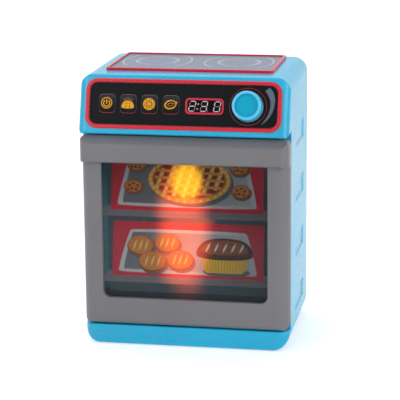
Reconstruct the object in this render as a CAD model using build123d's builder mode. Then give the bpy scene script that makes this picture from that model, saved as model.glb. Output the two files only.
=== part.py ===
from math import cos, radians, sin, sqrt, tan
import os

from build123d import *

# A toy oven with a drop-down door. Millimetres, +X to the right, +Y to the back, +Z up.
# The origin lies on the table, in the middle of the oven's whole width and depth.
# A depth is counted backwards from the flat front face of the closed door.

# ---- Body ----
body_width = 200
body_depth = 144
body_top = 263
foot_height = 1.0
wall = 2.2
corner_radius = 14  # the two upper long edges, seen from the front
bottom_radius = 16  # the two lower ones
back_edge = 9  # rounding all around the back face
seam_depth = 86  # where the front and the rear housing meet
frame_depth = 15.4  # front frame wall, just behind the door

# ---- Hood with the control panel ----
hood_bottom = 208
hood_lower_radius = 5
hood_corner = 8  # upright corners, seen from above
hood_top_edge = 5
hood_bottom_edge = 3.5
hood_wall = 4.2
panel_tilt = 17
panel_depth = 1.6  # middle of the panel
panel_z = 236.4
panel_width = 178
panel_height = 39.4
panel_radius = 7.5
panel_thickness = 1.8
ring_band = 4
ring_height = 1.8
panel_clearance = 0.2
ring_edge = 1.2
ring_cover = 0.8
ring_peg_span = 80
ring_peg_radius = 1
ring_peg_length = 2.6
aperture_margin = 5

# ---- Plinth under the door ----
plinth_depth = 1.8
plinth_top = 19.2
plinth_corner = 13
plinth_edge = 2

# ---- Embossed pockets in the side walls ----
pocket_depth = 1.2
pocket_draft = 50  # slope of the pocket's walls
pocket_height = 19
pocket_start = 50
pocket_end = 109
pocket_first = 35.7
pocket_pitch = 54.3
pocket_count = 4
pocket_radius = 2.5

# ---- Oven chamber ----
chamber_width = 164
chamber_floor = 44
chamber_ceiling = 196
chamber_depth = 34
chamber_wall = 2
chamber_radius = 5
back_thickness = 2
chamber_boss_radius = 3.2
screw_bite = 8

# ---- Shelves and food cards ----
shelf_tops = {"lower": 64.8, "upper": 130.2}
shelf_front = 9
shelf_thickness = 2
shelf_lip = 4.4
shelf_clearance = 0.2
shelf_tab_width = 12
shelf_tab_place = 50
card_width = 147
card_heights = {"lower": 53.3, "upper": 60}
card_depth = 13
card_thickness = 1.6
card_tilt = 10
card_gap = 0.1
card_corner = 2
stop_width = 1.2
stop_height = 1.2

# ---- Door ----
door_bottom = 20.4
door_top = 206
door_depth = 15
door_wall = 2.6
door_corner = 13  # front corners, seen from above
door_outline_radius = 7
window_width = 159.4
window_bottom = 47
window_top = 184
window_radius = 7
window_land = 4
pane_depth = 4.4
pane_thickness = 2
inner_frame_thickness = 2.2
inner_opening_margin = 2.5
handle_reach = 6.5
handle_bottom = 180.5
handle_crest = 198.5
handle_slope_end = 1.5
handle_edge = 2.5
handle_corner = 10  # the handle's ends, seen from above
door_bottom_edge = 5
inner_frame_margin = 11
door_screw_x = 90
door_screw_levels = (52, 115, 172)
door_screw_radius = 1.1
door_screw_length = 5.2

# ---- Door hinge ----
hinge_depth = 6.5
hinge_z = 26
hinge_pin_radius = 1.5
hinge_play = 0.06
hinge_side = 80
lug_thickness = 5
lug_radius = 3.3
lug_gap = 0.5
rib_thickness = 2.6
rib_radius = 3.6
hinge_pin_length = 12

# ---- Controls ----
knob_x = 61.3
knob_height = 11.4
knob_face_radius = 13.6
knob_base_radius = 14.5
knob_edge = 1.5
knob_gap = 0.4
knob_recess_radius = 11
knob_recess_depth = 2.4
knob_cap_thickness = 1.6
knob_wall = 2
shaft_radius = 3
shaft_play = 0.05
shaft_grip = 4
cap_gap = 0.1
hub_radius = 5
knob_ring_radius = 17.6
knob_ring_band = 0.6
trim_height = 0.3
key_width = 14.4
key_height = 16.4
key_radius = 3
key_first = -72.4
key_pitch = 20.33
key_count = 4
key_proud = 0.4
key_gap = 0.25
key_flange = 0.9
key_flange_thickness = 1.2
key_stem_radius = 2.4
key_edge = 0.5
key_seat = 0.1
key_names = ("power", "bread", "pizza", "fish")
display_x = 20.4
display_level = -0.7  # below the panel's middle
display_width = 32.8
display_height = 11.6
display_radius = 2.2
display_band = 1.8
display_rise = 0.7
display_ledge = 1.2
lens_thickness = 1.2
lens_gap = 0.05

# ---- Boards and switches behind the panel ----
board_drop = 11  # from the panel's face to the board's face
board_width = 164
board_height = 42
board_thickness = 1.6
board_post_radius = 2.8
board_post_x = 77
board_post_y = 18
switch_body = 6
switch_body_height = 3.4
switch_button_radius = 1.7
switch_button_rise = 1.2
switch_floor = 0.4
plunger_length = 3
board_screw_length = 6
rotary_size = 16
rotary_height = 7.2
rotary_floor = 1
screw_radius = 1.4
screw_play = 0.05

# ---- Hob ----
hob_width = 160.6
hob_front = 30.4
hob_back = 127.8
hob_radius = 4
hob_band = 2.5
hob_rise = 2.7
hob_plate_thickness = 1.4
hob_clearance = 0.1
hob_inner_radius = 2.5
hob_edge = 0.8
hob_seat = 0.6
hob_ledge = 0.7
hob_ledge_width = 1.5
hob_peg_inset = 5.2
hob_peg_depths = (50, 118)
hob_peg_radius = 1.8
hob_peg_length = 4

# ---- Housing screws ----
post_x = 91
post_radius = 4.5
post_levels = (24, 120, 216)
screw_head_radius = 3
screw_head_height = 2.2
housing_screw_length = 14
post_floor = 4
head_clearance = 0.5

# ---- Speaker ----
speaker_z = 165
speaker_radius = 25
speaker_depth = 17
speaker_flange = 1.2
magnet_radius = 13
magnet_height = 7
speaker_seat_height = 5
speaker_clearance = 0.3
cone_thickness = 0.6
cone_radius = 20
cone_drop = 5
dust_cap_radius = 8
grille_radius = 19
grille_slot = 2.4
grille_pitch = 5

# ---- Battery bay ----
cell_radius = 7.1
cell_length = 49.2
cell_pitch = 15.6
cell_count = 3
nub_radius = 2.7
nub_height = 1.2
bay_bottom = 33
bay_side_room = 1.4
bay_end_room = 3.2
bay_wall = 3
bay_head = 14
contact_thickness = 0.5
contact_width = 9
hatch_thickness = 1.8
hatch_margin = 5
hatch_gap = 0.3
hatch_radius = 3
hatch_tab_width = 8
hatch_tab_drop = 2.5
hatch_tab_place = 16
hatch_tab_thickness = 1.4
hatch_head_seat = 1.2
hatch_groove_pitch = 4
hatch_groove_length = 22
hatch_groove_width = 1.4
hatch_groove_depth = 0.6

# ---- Power switch in the back ----
slide_x = 58
slide_z = 68
slide_travel = 4
slider_width = 4
slider_height = 3.4
slider_clearance = 0.3
slide_recess = 1.4
slide_body_width = 19
slide_body_height = 7
slide_body_depth = 6
slide_floor = 1.2
slider_proud = 0.3

# ---- Lamps behind the cards ----
lamp_levels = (95, 157.5)
lamp_radius = 2.5
lamp_length = 8.6
lamp_board_width = 16
lamp_board_margin = 12
lamp_gap = 0.3
lamp_board_gap = 4
rib_width = 2
rib_place = 45

# ---- Feet ----
foot_radius = 6.5
foot_recess = 0.6
foot_x = 80
foot_depths = (20, 124)

# ---- Worked out from the above ----
tilt = radians(panel_tilt)
half_width = body_width / 2
body_middle = (foot_height + body_top) / 2
knob_reach = (
    (knob_height - knob_edge) * cos(tilt)
    + (knob_face_radius - knob_edge) * sin(tilt)
    + knob_edge
    - panel_depth
)
middle_depth = (body_depth - knob_reach) / 2
ring_width = panel_width + 2 * ring_band
ring_outer_height = panel_height + 2 * ring_band
aperture_width = panel_width - 2 * aperture_margin
aperture_height = panel_height - 2 * aperture_margin
rear_swing = door_depth - hinge_depth  # the door's rear edge is round about the hinge
window_height = window_top - window_bottom
window_middle = (window_top + window_bottom) / 2
chamber_height = chamber_ceiling - chamber_floor
chamber_middle = (chamber_ceiling + chamber_floor) / 2
key_places = [(key_first + key_pitch * n, 0) for n in range(key_count)]
display_place = (display_x, display_level)
cell_places = [cell_pitch * (n - (cell_count - 1) / 2) for n in range(cell_count)]
bay_top = bay_bottom + cell_length + nub_height + 2 * bay_end_room
bay_width = cell_pitch * (cell_count - 1) + 2 * (cell_radius + bay_side_room)
bay_floor = body_depth - hatch_thickness - 2 * (cell_radius + bay_side_room)
hatch_width = bay_width + 2 * hatch_margin
hatch_bottom = bay_bottom + hatch_tab_drop
hatch_top = bay_top + bay_head - hatch_margin
hatch_screw_z = bay_top + (hatch_top - bay_top) / 2


def finish(builder, name):
    builder.part.label = name
    export_step(builder.part, f"parts/{name}.step")


def y_of(depth):
    return depth - middle_depth


def front_plane(depth):
    """A plane that faces the front: extruding by -t runs t backwards."""
    return Plane.XZ.offset(-y_of(depth))


def panel_plane(height=0):
    """A plane on the tilted control panel, at a height above its face."""
    face = Plane(
        origin=(0, y_of(panel_depth), panel_z),
        x_dir=(1, 0, 0),
        z_dir=(0, -cos(tilt), sin(tilt)),
    )
    return face.offset(height)


def panel_height_of(edge):
    """How far an edge's middle stands out from the control panel's face."""
    return round(panel_plane().to_local_coords(edge.center()).Z, 3)


def hood_face_depth(z):
    return panel_depth + (z - panel_z) * tan(tilt)


def side_outline(points):
    """A closed outline of (depth, z) points, drawn on the middle plane."""
    with BuildSketch(Plane.YZ) as outline:
        with BuildLine():
            Polyline(*[(y_of(depth), z) for depth, z in points], close=True)
        make_face()
    return outline.sketch


def body_outline(depth, inset=0):
    with BuildSketch(front_plane(depth)) as outline:
        with Locations((0, body_middle)):
            Rectangle(body_width - 2 * inset, body_top - foot_height - 2 * inset)
        fillet(outline.vertices().group_by(Axis.Y)[-1], corner_radius - inset)
        fillet(outline.vertices().group_by(Axis.Y)[0], bottom_radius - inset)
    return outline.sketch


def plan_outline(z, front, back, inset, radius):
    """The body's outline from above, with its two front corners rounded."""
    width = body_width - 2 * inset
    with BuildSketch(Plane.XY.offset(z)) as outline:
        with Locations((0, (y_of(front) + y_of(back)) / 2)):
            Rectangle(width, back - front)
        fillet(outline.vertices().group_by(Axis.Y)[0], radius)
    return outline.sketch


# ---- Housings ----
def hood_profile(low, high, slip, inset):
    """The hood's outline from the side: a tilted face with rounded edges."""
    back = seam_depth / 2
    with BuildSketch(Plane.YZ) as outline:
        with BuildLine():
            Polyline(
                (y_of(hood_face_depth(low) + slip), low),
                (y_of(hood_face_depth(high) + slip), high),
                (y_of(back), high),
                (y_of(back), low),
                close=True,
            )
        make_face()
        fillet(outline.vertices().group_by(Axis.Y)[-1].sort_by(Axis.X)[0], hood_top_edge - inset)
        fillet(outline.vertices().group_by(Axis.Y)[0].sort_by(Axis.X)[0], hood_bottom_edge - inset)
    return outline.sketch


def hood_block(inset, front_inset):
    """The hood over the door: its profile, front outline and tilted plan in common."""
    low = hood_bottom + inset
    high = body_top - inset
    slip = front_inset / cos(tilt)
    with BuildPart() as block:
        extrude(hood_profile(low, high, slip, inset), amount=half_width - inset, both=True)
        with BuildSketch(Plane.XZ) as outline:
            with Locations((0, (low + high) / 2)):
                Rectangle(body_width - 2 * inset, high - low)
            fillet(outline.vertices().group_by(Axis.Y)[-1], corner_radius - inset)
            fillet(outline.vertices().group_by(Axis.Y)[0], hood_lower_radius - inset)
        extrude(amount=body_depth, both=True, mode=Mode.INTERSECT)
        plan = plan_outline(
            low, hood_face_depth(low) + slip, seam_depth, inset, hood_corner - inset
        )
        along_face = (0, sin(tilt), cos(tilt))
        length = (high - low) / cos(tilt)
        extrude(plan, amount=length, dir=along_face, mode=Mode.INTERSECT)
    return block.part


def plinth_block(inset):
    """The plinth under the door, rounded from above and from the front."""
    low = foot_height + inset
    high = plinth_top - inset
    with BuildPart() as block:
        plan = plan_outline(
            low, plinth_depth + inset, seam_depth / 2, inset, plinth_corner - inset
        )
        extrude(plan, amount=high - low)
        extrude(body_outline(0, inset), amount=body_depth, both=True, mode=Mode.INTERSECT)
        if inset == 0:
            front_edges = block.edges().filter_by(
                lambda edge: edge.center().Y < y_of(frame_depth)
            )
            fillet(front_edges.group_by(Axis.Z)[-1], plinth_edge)
    return block.part


def front_cavity():
    """The hollow inside the front housing, open at the seam."""
    hood_space = hood_block(wall, hood_wall)
    plinth_space = plinth_block(wall)
    with BuildPart() as cavity:
        extrude(body_outline(frame_depth + wall, wall), amount=-(seam_depth - frame_depth))
        add(hood_space)
        add(plinth_space)
    return cavity.part


def rear_cavity():
    with BuildPart() as cavity:
        extrude(body_outline(seam_depth - wall, wall), amount=-(body_depth - seam_depth))
        fillet(cavity.faces().sort_by(Axis.Y)[-1].edges(), back_edge - wall)
    return cavity.part


def pocket_levels():
    return [pocket_first + pocket_pitch * n for n in range(pocket_count)]


def side_pads(front, back):
    """Thicker wall behind the side pockets, between two depths."""
    for side in (-1, 1):
        for z in pocket_levels():
            x = side * (half_width - (pocket_depth + wall) / 2 - pocket_depth)
            with Locations((x, y_of((front + back) / 2), z)):
                Box(pocket_depth + wall, back - front, pocket_height + 2 * wall)


def cut_side_pockets():
    middle = (pocket_start + pocket_end) / 2
    for side in (-1, 1):
        with BuildSketch(Plane.YZ.offset(side * half_width)) as pockets:
            with Locations(*[(y_of(middle), z) for z in pocket_levels()]):
                RectangleRounded(pocket_end - pocket_start, pocket_height, pocket_radius)
        extrude(
            pockets.sketch,
            amount=-side * pocket_depth,
            taper=pocket_draft,
            mode=Mode.SUBTRACT,
        )


def post_places():
    return [(side * post_x, z) for side, z in post_sides()]


def post_web_places():
    return [(side * (half_width + post_x) / 2 - side * wall / 4, z) for side, z in post_sides()]


def post_sides():
    return [(side, z) for side in (-1, 1) for z in post_levels]


def make_front_housing():
    shell_hood = hood_block(0, 0)
    shell_plinth = plinth_block(0)
    hollow = front_cavity()
    with BuildPart() as front_housing:
        extrude(body_outline(frame_depth), amount=-(seam_depth - frame_depth))
        add(shell_hood)
        add(shell_plinth)
        add(hollow, mode=Mode.SUBTRACT)
        side_pads(pocket_start - wall, seam_depth)
        cut_side_pockets()

        # Tunnel of the oven chamber, behind the front frame
        with BuildSketch(front_plane(frame_depth)):
            with Locations((0, chamber_middle)):
                RectangleRounded(
                    chamber_width + 2 * chamber_wall,
                    chamber_height + 2 * chamber_wall,
                    chamber_radius + chamber_wall,
                )
        extrude(amount=-(chamber_depth - frame_depth))
        with BuildSketch(front_plane(frame_depth - 1)):
            with Locations((0, chamber_middle)):
                RectangleRounded(chamber_width, chamber_height, chamber_radius)
        extrude(amount=-(chamber_depth - frame_depth + 2), mode=Mode.SUBTRACT)

        # Bosses at the tunnel's back, for the screws of the chamber's back plate
        with BuildSketch(front_plane(chamber_depth)):
            with Locations(*chamber_screw_places()):
                Circle(chamber_boss_radius)
        extrude(amount=chamber_depth - frame_depth - wall / 2)
        with BuildSketch(front_plane(chamber_depth)):
            with Locations(*chamber_screw_places()):
                Circle(screw_radius + screw_play)
        extrude(amount=screw_bite, mode=Mode.SUBTRACT)

        # Posts that take the housing screws, webbed to the side walls
        with BuildSketch(front_plane(seam_depth)):
            with Locations(*post_places()):
                Circle(post_radius)
            with Locations(*post_web_places()):
                Rectangle(half_width - post_x, wall)
        extrude(amount=seam_depth - frame_depth - wall / 2)
        with BuildSketch(front_plane(seam_depth)):
            with Locations(*post_places()):
                Circle(screw_radius + screw_play)
        extrude(amount=housing_screw_length, mode=Mode.SUBTRACT)

        # Posts behind the panel, for the control board
        with BuildSketch(panel_plane(-board_drop)):
            with GridLocations(2 * board_post_x, 2 * board_post_y, 2, 2):
                Circle(board_post_radius)
        extrude(amount=board_drop - hood_wall + 0.5)
        with BuildSketch(panel_plane(-board_drop)):
            with GridLocations(2 * board_post_x, 2 * board_post_y, 2, 2):
                Circle(screw_radius + screw_play)
        extrude(amount=board_drop - hood_wall, mode=Mode.SUBTRACT)

        # Seat and aperture of the control panel
        with BuildSketch(panel_plane()):
            RectangleRounded(
                panel_width + 2 * panel_clearance,
                panel_height + 2 * panel_clearance,
                panel_radius + panel_clearance,
            )
        extrude(amount=-panel_thickness, mode=Mode.SUBTRACT)
        with BuildSketch(panel_plane()):
            RectangleRounded(aperture_width, aperture_height, panel_radius - panel_clearance)
        extrude(amount=-(hood_wall + 1), mode=Mode.SUBTRACT)

        # Hinge lugs that carry the door pins
        for side in (-1, 1):
            with BuildSketch(Plane.YZ.offset(side * hinge_side)):
                with Locations((y_of(hinge_depth), hinge_z)):
                    Circle(lug_radius)
                with Locations((y_of((hinge_depth + frame_depth) / 2), hinge_z)):
                    Rectangle(frame_depth - hinge_depth + wall, 2 * lug_radius)
            extrude(amount=lug_thickness / 2, both=True)
            with BuildSketch(Plane.YZ.offset(side * hinge_side)):
                with Locations((y_of(hinge_depth), hinge_z)):
                    Circle(hinge_pin_radius + hinge_play)
            extrude(amount=lug_thickness, both=True, mode=Mode.SUBTRACT)

        cut_ring_peg_holes()
        cut_hob_seat()
        cut_foot_seats()
    finish(front_housing, "front_housing")


def chamber_screw_places():
    x = chamber_width / 2 + chamber_wall + chamber_boss_radius - 1
    z = chamber_height / 2 - 3 * chamber_boss_radius
    return [(sx * x, chamber_middle + sz * z) for sx in (-1, 1) for sz in (-1, 1)]


def foot_places():
    return [(side * foot_x, y_of(depth)) for side in (-1, 1) for depth in foot_depths]


def cut_foot_seats():
    with BuildSketch(Plane.XY.offset(foot_height)) as seats:
        with Locations(*foot_places()):
            Circle(foot_radius + panel_clearance / 2)
    extrude(seats.sketch, amount=foot_recess, mode=Mode.SUBTRACT)


def make_rear_housing():
    hollow = rear_cavity()
    back = front_plane(body_depth)
    with BuildPart() as rear_housing:
        extrude(body_outline(seam_depth), amount=-(body_depth - seam_depth))
        fillet(rear_housing.faces().sort_by(Axis.Y)[-1].edges(), back_edge)
        add(hollow, mode=Mode.SUBTRACT)
        side_pads(seam_depth, pocket_end + wall)
        cut_side_pockets()

        # Screw tunnels, webbed to the side walls, each with a floor under the head
        with BuildSketch(front_plane(seam_depth)):
            with Locations(*post_places()):
                Circle(post_radius)
        extrude(amount=-(body_depth - seam_depth - wall))
        with BuildSketch(front_plane(seam_depth)):
            with Locations(*post_web_places()):
                Rectangle(half_width - post_x, wall)
        extrude(amount=-(body_depth - seam_depth - back_edge))
        with BuildSketch(back):
            with Locations(*post_places()):
                Circle(screw_head_radius + head_clearance)
        extrude(amount=body_depth - seam_depth - post_floor, mode=Mode.SUBTRACT)
        with BuildSketch(front_plane(seam_depth)):
            with Locations(*post_places()):
                Circle(screw_radius + screw_play)
        extrude(amount=-post_floor, mode=Mode.SUBTRACT)

        # Seat ring and grille of the speaker
        with BuildSketch(back):
            with Locations((0, speaker_z)):
                Circle(speaker_radius + speaker_clearance + wall)
                Circle(speaker_radius + speaker_clearance, mode=Mode.SUBTRACT)
        extrude(amount=wall + speaker_seat_height)
        with BuildSketch(back):
            with Locations((0, speaker_z)):
                Circle(grille_radius)
                with GridLocations(1, grille_pitch, 1, 8):
                    Rectangle(2 * grille_radius, grille_pitch - grille_slot, mode=Mode.SUBTRACT)
        extrude(amount=wall, mode=Mode.SUBTRACT)

        # Battery bay behind the hatch, with a lip of the back wall over the hatch's tabs
        with BuildSketch(back):
            with Locations((0, (bay_bottom + bay_top) / 2)):
                Rectangle(bay_width + 2 * bay_wall, bay_top - bay_bottom + 2 * bay_wall)
        extrude(amount=body_depth - bay_floor + bay_wall)
        with BuildSketch(back):
            with Locations((0, (bay_bottom + bay_top + bay_head) / 2)):
                Rectangle(hatch_width + 2 * bay_wall, bay_top - bay_bottom + bay_head)
        extrude(amount=hatch_thickness + wall)
        with BuildSketch(front_plane(body_depth - hatch_thickness)):
            with Locations((0, (bay_bottom + bay_top) / 2)):
                Rectangle(bay_width, bay_top - bay_bottom)
        extrude(amount=body_depth - hatch_thickness - bay_floor, mode=Mode.SUBTRACT)
        with BuildSketch(back):
            with Locations((0, (hatch_bottom + hatch_top) / 2)):
                RectangleRounded(hatch_width, hatch_top - hatch_bottom, hatch_radius)
        extrude(amount=hatch_thickness, mode=Mode.SUBTRACT)
        with BuildSketch(back):
            with Locations((0, hatch_screw_z)):
                Circle(post_radius)
        extrude(amount=hatch_thickness + screw_bite)
        with BuildSketch(back):
            with Locations((0, hatch_screw_z)):
                Circle(screw_radius + screw_play)
        extrude(amount=hatch_thickness + screw_bite, mode=Mode.SUBTRACT)
        with BuildSketch(back):
            with Locations((0, hatch_screw_z)):
                Circle(post_radius + 1)
        extrude(amount=hatch_thickness, mode=Mode.SUBTRACT)
        for side in (-1, 1):
            with BuildSketch(front_plane(body_depth - hatch_thickness)):
                with Locations((side * hatch_tab_place, hatch_bottom - hatch_tab_drop / 2)):
                    Rectangle(hatch_tab_width + hatch_gap, hatch_tab_drop + 2 * hatch_gap)
            extrude(amount=hatch_tab_thickness + hatch_gap, mode=Mode.SUBTRACT)

        # Recess and slot of the power switch
        with BuildSketch(back):
            with Locations((slide_x, slide_z)):
                RectangleRounded(slide_body_width - 2, slide_body_height, 1.5)
        extrude(amount=slide_recess, mode=Mode.SUBTRACT)
        with BuildSketch(back):
            with Locations((slide_x, slide_z)):
                Rectangle(
                    slider_width + slide_travel + 2 * slider_clearance,
                    slider_height + 2 * slider_clearance,
                )
        extrude(amount=2 * wall, mode=Mode.SUBTRACT)

        cut_hob_seat()
        cut_foot_seats()
    finish(rear_housing, "rear_housing")


def make_housing_fasteners():
    with BuildPart() as housing_screws:
        with Locations(*[(x, y_of(seam_depth + post_floor), z) for x, z in post_places()]):
            add(screw(screw_radius, housing_screw_length, screw_head_radius, screw_head_height))
    finish(housing_screws, "housing_screws")

    with BuildPart() as rubber_feet:
        with BuildSketch():
            with Locations(*foot_places()):
                Circle(foot_radius)
        extrude(amount=foot_height + foot_recess)
        chamfer(rubber_feet.edges().group_by(Axis.Z)[0], foot_height / 2)
    finish(rubber_feet, "rubber_feet")


def screw(radius, length, head_radius, head_height):
    """A pan-head screw along Y: its shank points to the front, its head to the back."""
    with BuildPart() as body:
        with BuildSketch(Plane.XZ):
            Circle(head_radius)
        extrude(amount=-head_height)
        fillet(body.edges().group_by(Axis.Y)[-1], head_height / 3)
        with BuildSketch(Plane.XZ):
            Circle(radius)
        extrude(amount=length)
        chamfer(body.edges().group_by(Axis.Y)[0], radius / 2)
        with BuildSketch(Plane.XZ.offset(-head_height)):
            Rectangle(1.3 * head_radius, head_height / 4)
            Rectangle(head_height / 4, 1.3 * head_radius)
        extrude(amount=head_height / 2, mode=Mode.SUBTRACT)
    return body.part


# ---- Door ----
def door_profile(inset):
    """The door's outline from the side, with the handle along its top."""
    tops = handle_slope_end + inset / 2
    reach = -handle_reach + inset
    with BuildSketch(Plane.YZ) as outline:
        with BuildLine():
            Polyline(
                (y_of(inset), door_bottom + inset),
                (y_of(inset), handle_bottom + inset),
                (y_of(reach), handle_bottom + inset),
                (y_of(reach), handle_crest - inset / 2),
                (y_of(tops), door_top - inset),
                (y_of(door_depth), door_top - inset),
                (y_of(door_depth), door_bottom + inset),
                close=True,
            )
        make_face()
        rounding = handle_edge - inset if inset < handle_edge else 0
        low_front = outline.vertices().group_by(Axis.X)[0]
        if rounding:
            fillet(low_front, rounding)
        bottom = outline.vertices().group_by(Axis.Y)[0].sort_by(Axis.X)
        fillet(bottom[0], door_bottom_edge - inset)
    return outline.sketch


def door_block(inset):
    """The door's volume: its plan, its front outline and its profile in common."""
    with BuildPart() as block:
        slab = plan_outline(door_bottom, inset, door_depth, inset, door_corner - inset)
        extrude(slab, amount=door_top - door_bottom)
        bulge = plan_outline(
            handle_bottom, inset - handle_reach, door_depth, inset, handle_corner - inset
        )
        extrude(bulge, amount=door_top - handle_bottom)
        extrude(door_profile(inset), amount=half_width, both=True, mode=Mode.INTERSECT)
        with BuildSketch(Plane.XZ) as outline:
            with Locations((0, (door_bottom + door_top) / 2)):
                RectangleRounded(
                    body_width - 2 * inset,
                    door_top - door_bottom - 2 * inset,
                    door_outline_radius - inset,
                )
        extrude(amount=body_depth, both=True, mode=Mode.INTERSECT)
    return block.part


def door_screw_places():
    return [(side * door_screw_x, z) for side in (-1, 1) for z in door_screw_levels]


def hinge_sides():
    return [side * hinge_side for side in (-1, 1)]


def make_door():
    hollow = door_block(door_wall)
    plane = Plane.YZ
    axis = (y_of(hinge_depth), hinge_z)
    with BuildPart() as door_shell:
        add(door_block(0))
        add(hollow, mode=Mode.SUBTRACT)

        # Rim around the window, then the window itself
        with BuildSketch(front_plane(0)):
            with Locations((0, window_middle)):
                RectangleRounded(
                    window_width + 2 * (window_land + door_wall),
                    window_height + 2 * (window_land + door_wall),
                    window_radius + window_land,
                )
        extrude(amount=-pane_depth)
        with BuildSketch(front_plane(0)):
            with Locations((0, window_middle)):
                RectangleRounded(window_width, window_height, window_radius)
        extrude(amount=-door_depth, mode=Mode.SUBTRACT)

        # Posts for the screws of the inner frame
        with BuildSketch(front_plane(door_wall / 2)):
            with Locations(*door_screw_places()):
                Circle(chamber_boss_radius)
        extrude(amount=-(pane_depth + pane_thickness - door_wall / 2))
        with BuildSketch(front_plane(pane_depth + pane_thickness)):
            with Locations(*door_screw_places()):
                Circle(door_screw_radius + screw_play)
        extrude(amount=door_screw_length - inner_frame_thickness, mode=Mode.SUBTRACT)

        # Rear edge rounded around the hinge, so that it swings clear of the front frame
        with BuildSketch(plane):
            with Locations(axis):
                Rectangle(4 * rear_swing, 4 * rear_swing, align=(Align.MIN, Align.MAX))
                Circle(rear_swing, mode=Mode.SUBTRACT)
        extrude(amount=body_width, both=True, mode=Mode.SUBTRACT)

        for x in hinge_sides():
            # Ribs on both sides of the lug, with the pin's holes
            for flank in (-1, 1):
                offset = flank * (lug_thickness / 2 + lug_gap)
                with BuildSketch(plane.offset(x + offset)):
                    with Locations(axis):
                        Circle(rib_radius)
                    with Locations((y_of(door_wall / 2), door_bottom + door_wall / 2)):
                        Rectangle(
                            hinge_depth - door_wall / 2,
                            hinge_z + 2.3 * rib_radius - door_bottom,
                            align=(Align.MIN, Align.MIN),
                        )
                extrude(amount=flank * rib_thickness)
            # Notch in the bottom wall for the lug
            notch = lug_radius + lug_gap
            with Locations((x, y_of(hinge_depth) - notch, hinge_z - notch)):
                Box(
                    lug_thickness + 2 * lug_gap,
                    door_depth,
                    2 * notch,
                    align=(Align.CENTER, Align.MIN, Align.CENTER),
                    mode=Mode.SUBTRACT,
                )
            with BuildSketch(plane.offset(x)):
                with Locations(axis):
                    Circle(hinge_pin_radius)
            extrude(amount=hinge_pin_length / 2, both=True, mode=Mode.SUBTRACT)
    finish(door_shell, "door_shell")

    with BuildPart() as hinge_pins:
        for x in hinge_sides():
            with BuildSketch(plane.offset(x)):
                with Locations(axis):
                    Circle(hinge_pin_radius)
            extrude(amount=hinge_pin_length / 2, both=True)
    finish(hinge_pins, "hinge_pins")

    with BuildPart() as door_window:
        with BuildSketch(front_plane(pane_depth)):
            with Locations((0, window_middle)):
                RectangleRounded(
                    window_width + 2 * window_land,
                    window_height + 2 * window_land,
                    window_radius + window_land,
                )
        extrude(amount=-pane_thickness)
    finish(door_window, "door_window")

    with BuildPart() as door_inner_frame:
        with BuildSketch(front_plane(pane_depth + pane_thickness)):
            with Locations((0, window_middle)):
                RectangleRounded(
                    2 * (door_screw_x + 2 * door_screw_radius),
                    window_height + 2 * inner_frame_margin,
                    window_radius + inner_opening_margin,
                )
                RectangleRounded(
                    window_width + 2 * inner_opening_margin,
                    window_height + 2 * inner_opening_margin,
                    window_radius,
                    mode=Mode.SUBTRACT,
                )
        extrude(amount=-inner_frame_thickness)
        with BuildSketch(front_plane(pane_depth)):
            with Locations(*door_screw_places()):
                Circle(door_screw_radius + screw_play)
        extrude(amount=-door_depth, mode=Mode.SUBTRACT)
    finish(door_inner_frame, "door_inner_frame")

    head_seat = y_of(pane_depth + pane_thickness + inner_frame_thickness)
    with BuildPart() as door_screws:
        with Locations(*[(x, head_seat, z) for x, z in door_screw_places()]):
            add(screw(door_screw_radius, door_screw_length, 2 * door_screw_radius, 1.4))
    finish(door_screws, "door_screws")


# ---- Oven chamber ----
def rib_outline(name):
    """Side view of a rib that fills the space between a leaning card and the back."""
    low = shelf_tops[name] + card_gap
    lean = radians(card_tilt)
    foot = card_depth + card_thickness / cos(lean) + card_gap
    rise = card_heights[name] * cos(lean)
    return side_outline(
        [
            (foot + rise / 3 * tan(lean), low + rise / 3),
            (foot + rise * tan(lean), low + rise),
            (chamber_depth, low + rise),
            (chamber_depth, low + rise / 3),
        ]
    )


def lamp_places():
    return [(0, z) for z in lamp_levels]


def lamp_board_middle():
    return sum(lamp_levels) / len(lamp_levels)


def lamp_board_height():
    return max(lamp_levels) - min(lamp_levels) + 2 * lamp_board_margin


def lamp_screw_places():
    reach = lamp_board_height() / 2 - lamp_board_margin / 3
    return [(0, lamp_board_middle() + side * reach) for side in (-1, 1)]


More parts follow.
